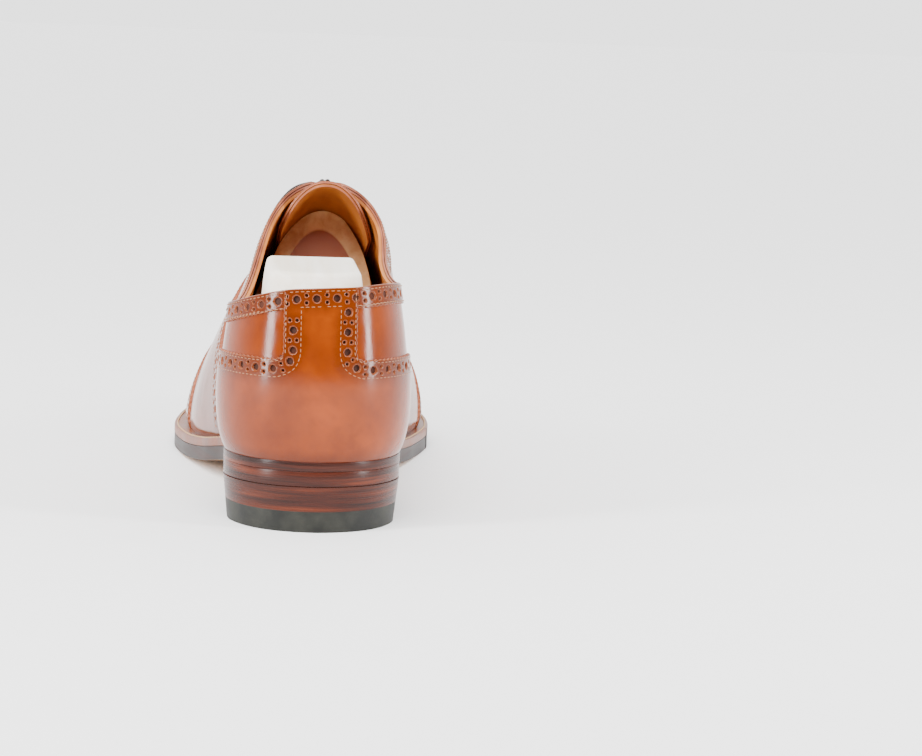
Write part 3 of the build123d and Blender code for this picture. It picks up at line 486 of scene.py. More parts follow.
class Spots:
    """Places on the skin. Their distances inside the seams are worked out once, when they are asked for."""

    def __init__(self, a, w):
        self.a, self.w = a, w
        self.p = skin(a, w)
        self.known = {}

    def inside(self, seam, pinked=False):
        """The distances inside a seam."""
        if (seam, pinked) not in self.known:
            self.known[seam, pinked] = SEAMS[seam].distance(self.p, self.w, pinked)
        return self.known[seam, pinked]

    def above_seat(self):
        """The heights above the curve on which the upper sits."""
        return self.p[:, 2] - seat(self.p[:, 1])

    def above_foot(self):
        """The heights above the line at which the panels end, a little under the seat."""
        return self.above_seat() + 0.5

    def measure(self, name):
        """The y, the height, the height above the seat, or else the distance inside a seam."""
        if name == "seat":
            return self.above_seat()
        plain = {"y": 1, "height": 2}
        return self.p[:, plain[name]] if name in plain else self.inside(name)

    def clear_of(self, *rows):
        """How far the places are from the rim of the nearest hole of these rows."""
        centres, radii = (np.concatenate(parts) for parts in zip(*rows))
        best = np.full(len(self.p), np.inf)
        for part in slices(len(self.p), 8000):
            gaps = np.linalg.norm(self.p[part][:, None] - centres[None], axis=2) - radii
            best[part] = gaps.min(1)
        return best


def where(above, below):
    """A rule that is true where every measure named is above or below its limit."""

    def keep(spots):
        kept = [spots.measure(name) > limit for name, limit in above.items()]
        kept += [spots.measure(name) < limit for name, limit in below.items()]
        return np.logical_and.reduce(kept)

    return keep


# ---------------------------------------------------------------- sheets of leather cut from the skin

LAP = 0.3  # how far one overlay runs in under the next
UNDER_VAMP, UNDER_COUNTER, UNDER_CAP = 8.0, 9.0, 9.0  # how far a panel runs on under these
UNDER_TAB = 10.0  # how far down from the topline the quarters run on under the counter's tab
EYELET_PLAY = 0.1
EDGE = 0.4  # how far in from its edge a panel starts to round over
FINEST = 0.5  # edges shorter than this aren't halved
SNAP = 0.02  # corners this close to a cut are taken to lie on it
SHARP = 42  # degrees between faces from which an edge isn't smoothed


class Sheet:
    """Triangles on the skin, and at each corner the value of a rule that is positive inside a panel."""

    def __init__(self, rule):
        self.rule = rule
        value = rule(Spots(BASE_A, BASE_W))
        near = (value[BASE_TRIS] > -2 * BASE_STEP).any(1)
        used, tris = np.unique(BASE_TRIS[near], return_inverse=True)
        self.tris = tris.reshape(-1, 3)
        self.a, self.w, self.value = BASE_A[used], BASE_W[used], value[used]

    def add(self, first, second, share, value=None):
        """New places between pairs of old ones. Returns the first one's number."""
        a, w = between(self.a, self.w, first, second, share)
        start = len(self.a)
        self.a, self.w = np.append(self.a, a), np.append(self.w, w)
        self.value = np.append(self.value, self.rule(Spots(a, w)) if value is None else value)
        return start

    def halve(self):
        """Halves the edges near the rule's zero line, unless they are fine already."""
        edges = np.sort(self.tris[:, TRIANGLE_SIDES], axis=2)
        keys, inverse = np.unique(edges.reshape(-1, 2), axis=0, return_inverse=True)
        points = skin(self.a, self.w)
        length = np.linalg.norm(points[keys[:, 0]] - points[keys[:, 1]], axis=1)
        near = np.abs(self.value[keys]).min(1) < 1.05 * length + PINK_DEPTH * (length > 1)
        split = near & (length > FINEST)
        middle = np.full(len(keys), -1)
        middle[split] = self.add(keys[split, 0], keys[split, 1], 0.5) + np.arange(split.sum())
        middle = middle[inverse].reshape(-1, 3)
        count = (middle >= 0).sum(1)
        parts = [self.tris[count == 0]]
        for number in (1, 2):
            tris, mids = self.tris[count == number], middle[count == number]
            odd = (mids >= 0).argmax(1) if number == 1 else (mids < 0).argmax(1)
            turn = (odd[:, None] + np.arange(3)) % 3
            i, j, k = np.take_along_axis(tris, turn, 1).T
            m0, m1, m2 = np.take_along_axis(mids, turn, 1).T
            if number == 1:
                parts += [np.stack([i, m0, k], 1), np.stack([m0, j, k], 1)]
            else:
                parts += [np.stack([i, j, m1], 1), np.stack([i, m1, m2], 1), np.stack([m2, m1, k], 1)]
        (i, j, k), (m0, m1, m2) = self.tris[count == 3].T, middle[count == 3].T
        parts += [np.stack(corners, 1) for corners in ((i, m0, m2), (m0, j, m1), (m2, m1, k), (m0, m1, m2))]
        self.tris = np.concatenate(parts)

    def split(self, level):
        """Cuts triangles along the line where the value is level."""
        value = self.value - level
        value[np.abs(value) < SNAP] = 0
        signs = np.sign(value[self.tris])
        mixed = (signs.min(1) < 0) & (signs.max(1) > 0)
        parts, tris, signs = [self.tris[~mixed]], self.tris[mixed], signs[mixed]
        touching = (signs == 0).any(1)
        alone = np.where(touching[:, None], signs == 0, signs == -signs.sum(1)[:, None]).argmax(1)
        i, j, k = np.take_along_axis(tris, (alone[:, None] + np.arange(3)) % 3, 1).T
        whole = ~touching
        ends = np.concatenate([
            np.stack([j[touching], k[touching]], 1),
            np.stack([i[whole], j[whole]], 1),
            np.stack([i[whole], k[whole]], 1),
        ])
        keys, inverse = np.unique(np.sort(ends, axis=1), axis=0, return_inverse=True)
        share = value[keys[:, 0]] / (value[keys[:, 0]] - value[keys[:, 1]])
        new = self.add(keys[:, 0], keys[:, 1], share, np.full(len(keys), level)) + inverse.ravel()
        n, m0, m1 = np.split(new, [touching.sum(), touching.sum() + whole.sum()])
        it, jt, kt, iw, jw, kw = i[touching], j[touching], k[touching], i[whole], j[whole], k[whole]
        for corners in ((it, jt, n), (it, n, kt), (iw, m0, m1), (m0, jw, kw), (m0, kw, m1)):
            parts.append(np.stack(corners, 1))
        self.tris = np.concatenate(parts)

    def clip(self):
        """Keeps what is inside the panel."""
        self.tris = self.tris[self.value[self.tris].mean(1) > 1e-4]
        used, tris = np.unique(self.tris, return_inverse=True)
        self.tris = tris.reshape(-1, 3)
        self.a, self.w, self.value = self.a[used], self.w[used], self.value[used]


def cut_sheet(rule, rounds=2):
    """The triangles of a panel, fine along its edge."""
    sheet = Sheet(rule)
    for _ in range(rounds):
        sheet.halve()
    for level in (EDGE, EDGE * 0.3, 0.0):
        sheet.split(level)
    sheet.clip()
    return sheet


def add_object(name, data):
    """A new object in the scene that shows this mesh, curve, light or camera."""
    obj = bpy.data.objects.new(name, data)
    bpy.context.scene.collection.objects.link(obj)
    return obj


def make_mesh(name, points, faces, materials, kinds=None):
    """A smooth-shaded object. faces is a list of index arrays, one for each number of corners."""
    corners = np.concatenate([face.ravel() for face in faces])
    sizes = np.concatenate([np.full(len(face), face.shape[1]) for face in faces])
    used, corners = np.unique(corners, return_inverse=True)
    mesh = bpy.data.meshes.new(name)
    mesh.vertices.add(len(used))
    mesh.vertices.foreach_set("co", (points[used] * MM).astype(np.float32).ravel())
    mesh.loops.add(len(corners))
    mesh.loops.foreach_set("vertex_index", corners.ravel().astype(np.int32))
    mesh.polygons.add(len(sizes))
    mesh.polygons.foreach_set("loop_start", np.concatenate([[0], np.cumsum(sizes)[:-1]]).astype(np.int32))
    for material in materials:
        mesh.materials.append(material)
    if kinds is not None:
        mesh.polygons.foreach_set("material_index", kinds.astype(np.int32))
    mesh.update(calc_edges=True)
    mesh.validate()
    mesh.polygons.foreach_set("use_smooth", np.ones(len(mesh.polygons), bool))
    mesh.set_sharp_from_angle(angle=radians(SHARP))
    return add_object(name, mesh), used


def finish_piece(obj, slot, *nodes, body="shoe"):
    """Says which body a piece rides on, and hides the CAD nodes that it stands for. slot is not used."""
    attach(obj, body)
    if nodes:
        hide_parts(*nodes)
    return obj


TUCK_HEIGHT = 7.0


def near_foot(height):
    """1 where the upper tucks in under itself at the welt, fading to 0 above."""
    return np.clip(1 - height / TUCK_HEIGHT, 0, 1) ** 2


def thicken(name, sheet, depths, materials, cover=None, tuck=0.0):
    """A closed panel between two depths, its outer edge rounded over.

    materials are its leather, its cut edge and, where cover is positive, a darker leather under an overlay:
    painted shade for what is seen down its holes.
    """
    top, bottom = depths
    drop = EDGE * (1 - np.sqrt(1 - (1 - np.clip(sheet.value / EDGE, 0, 1)) ** 2))
    spots = Spots(sheet.a, sheet.w)
    pull = near_foot(spots.above_seat()) * tuck
    outer = skin(sheet.a, sheet.w, top + drop + pull)
    inner = skin(sheet.a, sheet.w, bottom + pull)
    count = len(outer)
    tris = sheet.tris
    directed = tris[:, TRIANGLE_SIDES].reshape(-1, 2)
    keys = directed[:, 0].astype(np.int64) * count + directed[:, 1]
    reverse = directed[:, 1].astype(np.int64) * count + directed[:, 0]
    rim = directed[~np.isin(keys, reverse)]
    walls = np.stack([rim[:, 1], rim[:, 0], rim[:, 0] + count, rim[:, 1] + count], 1)
    under = tris[:, ::-1] + count
    kinds = np.concatenate([np.zeros(len(tris) * 2), np.ones(len(walls))])
    if cover is not None:
        # painted shade: where an overlay covers the panel, its faces take the darker third material
        in_painted_shade = cover(spots)[tris].mean(1) > 0.5
        kinds[: len(tris)][in_painted_shade] = 2
    points, faces = np.concatenate([outer, inner]), [np.concatenate([tris, under]), walls]
    obj, used = make_mesh(name, points, faces, materials, kinds)
    distance = np.concatenate([sheet.value, sheet.value])[used]
    attribute = obj.data.attributes.new("from_edge", "FLOAT", "POINT")
    attribute.data.foreach_set("value", np.clip(distance, 0, 12).astype(np.float32))
    return obj


# ---------------------------------------------------------------- broguing and stitching


def walk(line, pitch, from_back=False):
    """Places at even steps along a line of the skin, with their directions.

    from_back puts the middle of a step on the middle of the heel's back.
    """
    a, w = line
    points = skin(a, w)
    along = arc_lengths(points)
    start = pitch / 2
    if from_back:
        off_back = np.abs(points[:, 0] - HEEL_X) + 0.5 * np.maximum(points[:, 1] - BACK_Y, 0)
        start = (along[np.argmin(off_back)] - pitch / 2) % pitch
    at = np.arange(start, along[-1], pitch)
    place = np.interp(at, along, np.arange(len(a)))
    low = np.clip(place.astype(int), 0, len(a) - 2)
    share = place - low
    new_a, new_w = between(a, w, low, low + 1, share)
    tangent = points[low + 1] - points[low]
    return new_a, new_w, tangent / np.maximum(np.linalg.norm(tangent, axis=1, keepdims=True), 1e-9)


def lines_at(seam, distance):
    """The lines at a distance inside a seam."""
    return contours(SEAMS[seam].distance(BASE_POINTS, BASE_W) - distance)


def brogue(seam, keep, from_back=False):
    """The centres and radii of a row of holes along a seam, with a pair of dots between every two."""
    centres, radii = [], []
    for line in lines_at(seam, BAND_MIDDLE):
        a, w, tangent = walk(line, HOLE_PITCH / 2, from_back)
        points, normal = skin(a, w), skin_normal(a, w)
        side = np.cross(normal, tangent)
        kept = keep(Spots(a, w))
        big = (np.arange(len(a)) % 2 == 0) & kept
        small = (np.arange(len(a)) % 2 == 1) & kept
        centres.append(points[big])
        radii.append(np.full(big.sum(), HOLE_RADIUS))
        for way in (-1, 1):
            centres.append(points[small] + way * DOT_SPREAD * side[small])
            radii.append(np.full(small.sum(), DOT_RADIUS))
    return np.concatenate(centres), np.concatenate(radii)


def capsule(length, radius):
    """The points and faces of a short rounded thread along x."""
    around = 6
    rings = [(-0.46, 0.55), (-0.3, 0.95), (0, 1.05), (0.3, 0.95), (0.46, 0.55)]
    points = [(-length / 2, 0, 0)]
    for x, r in rings:
        for k in range(around):
            angle = 2 * pi * k / around
            points.append((x * length, r * radius * cos(angle), r * radius * sin(angle)))
    points.append((length / 2, 0, 0))
    tris, quads = [], []
    last = len(points) - 1
    for k in range(around):
        n = (k + 1) % around
        tris.append((0, 1 + n, 1 + k))
        tris.append((last, last - around + k, last - around + n))
        for ring in range(len(rings) - 1):
            start = 1 + ring * around
            quads.append((start + k, start + n, start + around + n, start + around + k))
    return np.array(points), np.array(tris), np.array(quads)


def scatter(name, shape, centres, x_axes, z_axes, material):
    """Copies of one small shape in one object, each turned to its own axes."""
    points, tris, quads = shape
    y_axes = np.cross(z_axes, x_axes)
    y_axes /= np.linalg.norm(y_axes, axis=1, keepdims=True)
    z_axes = np.cross(x_axes, y_axes)
    axes = np.stack([x_axes, y_axes, z_axes], 1)
    placed = (centres[:, None] + points[None] @ axes).reshape(-1, 3)
    starts = (np.arange(len(centres)) * len(points))[:, None, None]
    faces = [(tris[None] + starts).reshape(-1, 3), (quads[None] + starts).reshape(-1, 4)]
    return make_mesh(name, placed, faces, [material])[0]


def stitching(name, rows, material):
    """Rows of stitches: each row is a seam, a distance inside it, a depth and a rule for where it is sewn."""
    centres, along, up = [], [], []
    for seam, distance, depth, keep in rows:
        for line in lines_at(seam, distance):
            a, w, tangent = walk(line, STITCH_PITCH)
            kept = keep(Spots(a, w))
            centres.append(skin(a[kept], w[kept], depth + STITCH_RADIUS * 0.35))
            along.append(tangent[kept])
            up.append(skin_normal(a[kept], w[kept]))
    places = (np.concatenate(part) for part in (centres, along, up))
    return scatter(name, capsule(STITCH_LENGTH, STITCH_RADIUS), *places, material)


# ---------------------------------------------------------------- materials


# Where painted shade darkens the tree's forepart: an arch on its rear face, in front of the hinge, in the
# shader's metres.
ARCH_MIDDLE, ARCH_HALF_WIDTH = 0.0012, 0.011
ARCH_TOP, ARCH_RISE = 0.0974, 0.0089
ARCH_DEPTHS = (-0.014, -0.013)
TARNISH = (0.25, 0.2, 0.14, 1)


def srgb(red, green, blue):
    """A screen colour as the shader wants it."""
    channels = [c / 255 for c in (red, green, blue)]
    return tuple(c / 12.92 if c <= 0.04045 else ((c + 0.055) / 1.055) ** 2.4 for c in channels) + (1,)


class Paint:
    """A material whose node tree is built step by step."""

    def __init__(self, name, **constants):
        self.material = bpy.data.materials.new(name)
        self.material.use_nodes = True
        self.tree = self.material.node_tree
        self.shader = self.tree.nodes["Principled BSDF"]
        for key, value in constants.items():
            self.shader.inputs[key.replace("_", " ")].default_value = value
        self.place = self.node("ShaderNodeTexCoord").outputs["Object"]

    def node(self, kind, settings=None, **inputs):
        """A new node. An underscore in an input's name stands for a space."""
        node = self.tree.nodes.new(kind)
        for key, value in (settings or {}).items():
            setattr(node, key, value)
        for key, value in inputs.items():
            self.set(node.inputs[key.replace("_", " ")], value)
        return node

    def set(self, socket, value):
        """Links a socket to another, or else gives it a constant."""
        if isinstance(value, bpy.types.NodeSocket):
            self.tree.links.new(value, socket)
        else:
            socket.default_value = value

    def math(self, operation, *values):
        node = self.node("ShaderNodeMath", {"operation": operation})
        for socket, value in zip(node.inputs, values):
            self.set(socket, value)
        return node.outputs[0]

    def noise(self, scale, stretch=(1, 1, 1), detail=4, distortion=0.0):
        """Cloudy noise. A stretch below 1 along an axis draws it out that way."""
        mapped = self.node("ShaderNodeMapping", Vector=self.place, Scale=stretch).outputs[0]
        return self.node("ShaderNodeTexNoise", Vector=mapped, Scale=scale, Detail=detail,
                         Distortion=distortion).outputs["Fac"]

    def cells(self, scale):
        return self.node("ShaderNodeTexVoronoi", Vector=self.place, Scale=scale).outputs[0]

    def ramp(self, factor, *stops):
        """Colours or greys at positions from 0 to 1."""
        ramp = self.node("ShaderNodeValToRGB", Fac=factor)
        elements = ramp.color_ramp.elements
        while len(elements) < len(stops):
            elements.new(0.5)
        for element, (position, colour) in zip(elements, stops):
            element.position = position
            element.color = colour if isinstance(colour, tuple) else (colour, colour, colour, 1)
        return ramp.outputs["Color"]

    def mix(self, factor, first, second, blend="MIX"):
        node = self.node("ShaderNodeMix", {"data_type": "RGBA", "blend_type": blend})
        self.set(node.inputs["Factor"], factor)
        self.set(node.inputs[6], first)
        self.set(node.inputs[7], second)
        return node.outputs[2]

    def spread(self, factor, low, high, from_low=0.0, from_high=1.0):
        """A factor mapped from one range to another."""
        return self.node("ShaderNodeMapRange", Value=factor, From_Min=from_low, From_Max=from_high,
                         To_Min=low, To_Max=high).outputs[0]

    def attribute(self, name):
        return self.node("ShaderNodeAttribute", {"attribute_name": name}).outputs["Fac"]

    def bump(self, height, strength, distance, under=None):
        node = self.node("ShaderNodeBump", Height=height, Strength=strength, Distance=distance)
        if under is not None:
            self.set(node.inputs["Normal"], under)
        return node.outputs[0]

    def done(self, colour, roughness, normal=None):
        self.set(self.shader.inputs["Base Color"], colour)
        self.set(self.shader.inputs["Roughness"], roughness)
        if normal is not None:
            self.set(self.shader.inputs["Normal"], normal)
        return self.material


def polished_calf():
    """Cognac calf, burnished darker along its edges and waxed to a shine."""
    paint = Paint("polished_calf", IOR=1.37)
    patches = paint.noise(22, detail=5, distortion=0.6)
    colour = paint.ramp(patches, (0.3, srgb(92, 32, 0)), (0.52, srgb(116, 44, 0)), (0.72, srgb(138, 56, 0)))
    mottle = paint.noise(160, detail=4)
    colour = paint.mix(paint.spread(mottle, 0, 0.35, 0.45, 0.75), colour, srgb(80, 26, 0))
    from_edge = paint.attribute("from_edge")
    colour = paint.mix(paint.spread(from_edge, 0.6, 0.0, 0.0, 5.0), colour, srgb(56, 16, 0))
    colour = paint.mix(paint.spread(from_edge, 0.5, 0.0, 0.15, 0.42), colour, srgb(150, 80, 40))
    creases = paint.noise(55, stretch=(1, 2.2, 1), detail=3, distortion=0.4)
    pores = paint.cells(1500)
    normal = paint.bump(creases, 0.25, 0.0004)
    normal = paint.bump(pores, 0.12, 0.00006, normal)
    return paint.done(colour, paint.spread(mottle, 0.1, 0.2, 0.3, 0.7), normal)


def plain_leather(name, dark, light, roughness):
    """Leather with a fine grain and a little mottling."""
    paint = Paint(name, IOR=1.4)
    mottle = paint.noise(70, detail=6, distortion=0.3)
    colour = paint.ramp(mottle, (0.32, dark), (0.68, light))
    grain = paint.bump(paint.noise(260, detail=5), 0.3, 0.00015)
    normal = paint.bump(paint.cells(900), 0.35, 0.0001, grain)
    return paint.done(colour, paint.spread(mottle, roughness - 0.08, roughness + 0.08, 0.3, 0.7), normal)


def painted_shade_arch(paint):
    """The painted shade's mask: 1 on an arch in the middle of the tree's rear face, in front of the hinge,
    and 0 elsewhere.
    """
    x, y, z = paint.node("ShaderNodeSeparateXYZ", Vector=paint.place).outputs
    across = paint.math("MULTIPLY", paint.math("SUBTRACT", x, ARCH_MIDDLE), 1 / ARCH_HALF_WIDTH)
    square = paint.math("POWER", paint.math("ABSOLUTE", across), 2.0)
    below = paint.math("SUBTRACT", ARCH_TOP, paint.math("MULTIPLY_ADD", square, ARCH_RISE, z))
    within = paint.spread(below, 0, 1, -0.0003, 0.0006)
    return paint.math("MULTIPLY", within, paint.spread(y, 1, 0, *ARCH_DEPTHS))


def wood(name, dark, light, roughness, bump, shade_patch_colour=None):
    """Sanded wood, its grain along the shoe. The last argument is the colour of the painted shade on the
    forepart's arch.
    """
    paint = Paint(name, Coat_Weight=0.15, Coat_Roughness=0.3)
    grain = (1, 0.06, 1)
    rings = paint.noise(230, stretch=grain, detail=6, distortion=0.5)
    broad = paint.noise(40, stretch=grain, detail=3, distortion=1.0)
    colour = paint.ramp(paint.mix(0.5, rings, broad), (0.35, dark), (0.62, light))
    fine = paint.noise(1100, stretch=grain, detail=3)
    colour = paint.mix(paint.spread(fine, 0.0, 0.3, 0.5, 0.8), colour, dark)
    if shade_patch_colour:
        # painted shade: the arch on the forepart's rear face is mixed towards a darker colour
        colour = paint.mix(painted_shade_arch(paint), colour, shade_patch_colour)
    shine = paint.spread(fine, roughness - 0.05, roughness + 0.1)
    return paint.done(colour, shine, paint.bump(fine, bump, 0.0001))


def metal(name, colour, roughness):
    """Brushed metal."""
    paint = Paint(name, Metallic=1.0)
    brushed = paint.noise(700, stretch=(1, 0.05, 1), detail=4)
    tone = paint.mix(paint.spread(brushed, 0, 0.25), colour, TARNISH)
    shine = paint.spread(brushed, roughness, roughness + 0.14)
    return paint.done(tone, shine, paint.bump(brushed, 0.1, 0.00003))


def heel_stack():
    """The heel's lifts: thin layers of dyed leather, with fine level lines, polished."""
    paint = Paint("heel_stack", IOR=1.32)
    layers = paint.noise(60, stretch=(0.35, 0.35, 9), detail=6, distortion=0.25)
    colour = paint.ramp(layers, (0.3, srgb(22, 7, 4)), (0.45, srgb(50, 16, 6)), (0.58, srgb(70, 25, 8)),
                        (0.74, srgb(104, 42, 14)))
    lines = paint.noise(60, stretch=(0.6, 0.6, 42), detail=3)
    colour = paint.mix(paint.spread(lines, 0, 0.7, 0.55, 0.75), colour, srgb(28, 9, 6))
    return paint.done(colour, paint.spread(lines, 0.2, 0.36), paint.bump(lines, 0.35, 0.00015))


def one_pattern(name, dark, light, roughness, bump, pattern, **constants):
    """A material in which everything follows one pattern: noise, or cells if it is a number."""
    paint = Paint(name, **constants)
    factor = paint.noise(**pattern) if isinstance(pattern, dict) else paint.cells(pattern)
    colour = paint.ramp(factor, dark, light)
    return paint.done(colour, paint.spread(factor, *roughness), paint.bump(factor, *bump))


def rubber():
    """Dark rubber, lightly scuffed."""
    paint = Paint("heel_rubber", IOR=1.35)
    dust = paint.noise(140, detail=6)
    colour = paint.ramp(dust, (0.35, srgb(17, 18, 14)), (0.7, srgb(40, 40, 34)))
    return paint.done(colour, paint.spread(dust, 0.42, 0.62), paint.bump(paint.cells(1300), 0.2, 0.00008))


def lace_cloth():
    """Waxed cotton lace, round and braided."""
    paint = Paint("waxed_lace", IOR=1.35)
    uv = paint.node("ShaderNodeTexCoord").outputs["UV"]
    parts = paint.node("ShaderNodeSeparateXYZ", Vector=uv).outputs
    waves = []
    for turns in (-2, 2):
        angle = paint.math("MULTIPLY_ADD", parts[1], turns, paint.math("MULTIPLY", parts[0], 70))
        waves.append(paint.math("SINE", paint.math("MULTIPLY", angle, 2 * pi)))
    braid = paint.math("MAXIMUM", *waves)
    colour = paint.ramp(paint.spread(braid, 0, 1, -1, 1), (0.1, srgb(16, 9, 7)), (0.9, srgb(48, 28, 22)))
    return paint.done(colour, paint.spread(paint.noise(900), 0.4, 0.6), paint.bump(braid, 0.5, 0.0002))


def thread(name, colour):
    """Twisted linen thread."""
    paint = Paint(name)
    fibre = paint.noise(2200, detail=2)
    shade = paint.mix(paint.spread(fibre, 0, 0.5), colour, srgb(120, 84, 56))
    return paint.done(shade, paint.spread(fibre, 0.45, 0.65), paint.bump(fibre, 0.3, 0.00005))


CALF = polished_calf()
CUT_EDGE = plain_leather("cut_edge", srgb(128, 62, 36), srgb(176, 108, 78), 0.6)
# Painted shade: darker leather for the quarters under the overlays, standing for the shade down the brogue
# holes. The hidden toe puff wears it too.
PAINTED_SHADE_LEATHER = plain_leather("painted_shade_under_holes", srgb(40, 14, 4), srgb(68, 28, 10), 0.8)
TAN_LINING = plain_leather("tan_lining", srgb(160, 88, 30), srgb(196, 122, 50), 0.55)
TONGUE_EDGE = plain_leather("tongue_lining", srgb(156, 84, 28), srgb(190, 116, 46), 0.5)
WELT_LEATHER = plain_leather("welt_leather", srgb(82, 34, 6), srgb(126, 60, 14), 0.35)
SOLE_EDGE = one_pattern(
    "sole_edge", (0.35, srgb(20, 11, 9)), (0.7, srgb(46, 22, 14)), (0.35, 0.5), (0.2, 0.0001),
    {"scale": 80, "stretch": (0.4, 0.4, 7), "detail": 5}, IOR=1.3,
)
SOLE_LEATHER = plain_leather("sole_leather", srgb(158, 112, 70), srgb(196, 152, 104), 0.45)
HEEL_STACK = heel_stack()
RUBBER = rubber()
THREAD = thread("upper_thread", srgb(150, 96, 60))
WELT_THREAD = thread("welt_thread", srgb(196, 160, 118))
LACE_CLOTH = lace_cloth()
AGLET = one_pattern(
    "aglet_plastic", (0.3, srgb(30, 18, 15)), (0.7, srgb(60, 38, 30)), (0.25, 0.4), (0.05, 0.00005),
    {"scale": 300},
)
CORK = one_pattern(
    "cork_paste", (0.15, srgb(96, 62, 38)), (0.7, srgb(176, 130, 84)), (0.7, 0.9), (0.5, 0.0004), 420,
)
INSOLE = plain_leather("insole_leather", srgb(176, 126, 78), srgb(206, 158, 108), 0.6)
STIFFENER = plain_leather("stiffener", srgb(120, 84, 54), srgb(150, 112, 78), 0.8)
# The forepart's wood carries painted shade: a darker arch on its rear face, in front of the hinge.
FOREPART_WOOD = wood("forepart_wood", srgb(190, 134, 74), srgb(230, 186, 128), 0.42, 0.15, srgb(158, 78, 14))
BLOCK_WOOD = wood("block_wood", srgb(232, 220, 198), srgb(250, 245, 234), 0.45, 0.05)
BRASS = metal("brass", (0.72, 0.5, 0.2, 1), 0.22)
STEEL = metal("steel", (0.55, 0.55, 0.56, 1), 0.28)


# ---------------------------------------------------------------- the camera


def add_camera():
    """Low behind the pair, level with the heels, a little to the lateral side of this shoe."""
    place = Vector((-0.0605, -1.0585, 0.1804))
    azimuth, elevation, roll = radians(6.59), radians(7.67), radians(2.22)
    look = Vector((sin(azimuth) * cos(elevation), cos(azimuth) * cos(elevation), -sin(elevation)))
    right = Vector((cos(azimuth), -sin(azimuth), 0))
    up = right.cross(look)
    right, up = right * cos(roll) + up * sin(roll), up * cos(roll) - right * sin(roll)
    data = bpy.data.cameras.new("camera")
    data.lens = 102.7
    data.sensor_width = 36.0
    data.clip_end = 100
    camera = add_object("camera", data)
    camera.matrix_world = Matrix.Translation(place) @ Matrix((right, up, -look)).transposed().to_4x4()
    bpy.context.scene.camera = camera


# ---------------------------------------------------------------- laces


def add_spline(curve, points):
    """A smooth NURBS spline with these control points, in metres."""
    spline = curve.splines.new("NURBS")
    spline.points.add(len(points) - 1)
    for point, place in zip(spline.points, points):
        point.co = (*place, 1)
    spline.order_u = 3
    spline.use_endpoint_u = True
    spline.resolution_u = 10


def lace(name, *routes):
    """Round lace along one route or several."""
    curve = bpy.data.curves.new(name, "CURVE")
    curve.dimensions = "3D"
    curve.bevel_depth = LACE / 2 * MM
    curve.bevel_resolution = 5
    curve.use_fill_caps = True
    for route in routes:
        add_spline(curve, route)
    curve.materials.append(LACE_CLOTH)
    return add_object(name, curve)


def plan_spot(x, y):
    """The place (a, w) on the instep above a plan point, where the ribs stand straight across the shoe."""
    fine = np.linspace(*STRAIGHT_RIBS, 801)
    a = np.interp(y, ease(TABLES[LATERAL], fine)[:, 1], fine)
    side = LATERAL if x < ridge(y) else MEDIAL
    w = side * np.linspace(0.0, 0.6, 601)
    xs = skin(np.full(601, a), w)[:, 0]
    return a, float(np.interp(abs(x - ridge(y)), np.abs(xs - ridge(y)), w * side)) * side


def over(x, y, lift):
    """A point above the instep's surface, in metres."""
    a, w = plan_spot(x, y)
    normal = skin_normal(np.array([a]), np.array([w]))[0]
    return tuple((skin(a, w)[0] + normal * lift) * MM)


def eyelet(side, y):
    """The plan place of an eyelet."""
    return ridge(y) + side * (SLIT / 2 + EYELET_INSET), y


def add_laces():
    """The bars across the facings, the knot, and the bow's free laces."""
    bars = []
    for y in EYELET_ROWS[1:]:
        (left, _), (right, _) = eyelet(LATERAL, y), eyelet(MEDIAL, y)
        middle = ridge(y)
        bars.append([
            over(left, y, -3.0), over(left, y, 1.0), over(left + 1.2, y, 2.0), over(middle - 6, y, 1.7),
            over(middle, y, 1.6), over(middle + 6, y, 1.7), over(right - 1.2, y, 2.0), over(right, y, 1.0),
            over(right, y, -3.0),
        ])
    finish_piece(lace("lacing_bars", *bars), "lace", "lace_bars")

    knot = Vector((2.2, -16.6, 114.3))
    across, out = Vector((1, 0, 0)), Vector((0, 0.48, 0.877))
    along = out.cross(across)

    def local(x, t, n):
        return tuple((knot + across * x + along * t + out * n) * MM)

    strands = []
    for side in (LATERAL, MEDIAL):
        x, y = eyelet(side, EYELET_ROWS[0])
        strands.append([
            over(x, y, -3.0), over(x, y, 1.2), over(x - side * 2.5, y + 0.6, 2.2),
            local(side * 4.2, 0.3 * side, -0.6), local(side * 1.5, -0.5 * side, -0.3), local(0, 0, 0),
        ])
    for turn in (
        ((-4.6, 1.9, 0.3), (-2.6, 2.1, 0.9), (0, 1.2, 1.0), (2.6, 2.1, 0.9), (4.6, 1.9, 0.3)),
        ((-1.5, -3.6, -0.6), (-2.4, -2.0, 0.5), (0, -1.2, 0.9), (2.4, -2.0, 0.5), (1.5, -3.6, -0.6)),
    ):
        strands.append([local(*place) for place in turn])
    wrap = []
    for step in range(15):
        angle = radians(step * 36)
        wrap.append(local(-1.4 + 0.2 * step, 2.9 * cos(angle), 0.2 + 1.7 * sin(angle)))
    strands.append(wrap)
    finish_piece(lace("bow_knot", *strands), "lace", "lace_knot")

    for name, route, length in zip(SIDE_NAMES, (LOOP_LATERAL, LOOP_MEDIAL), LOOP_LENGTHS):
        loop = finish_piece(lace(f"bow_loop_{name}", route), "lace", f"lace_loop_{name}")
    for name, route, length in zip(SIDE_NAMES, (END_LATERAL, END_MEDIAL), END_LENGTHS):
        end = finish_piece(lace(f"bow_end_{name}", route), "lace", f"lace_end_{name}")


# ---------------------------------------------------------------- the upper


def eyelet_holes():
    """The eyelets' centres and radii."""
    centres = []
    for y in EYELET_ROWS:
        for side in (LATERAL, MEDIAL):
            a, w = plan_spot(*eyelet(side, y))
            centres.append(skin(a, w)[0])
    return np.array(centres), np.full(len(centres), EYELET_RADIUS)


def ring_of_holes(ring_radius, first, step, radius):
    """Holes at even steps round a ring: x, y, radius."""
    angles = [radians(angle) for angle in range(first, first + 360, step)]
    return [(ring_radius * cos(angle), ring_radius * sin(angle), radius) for angle in angles]


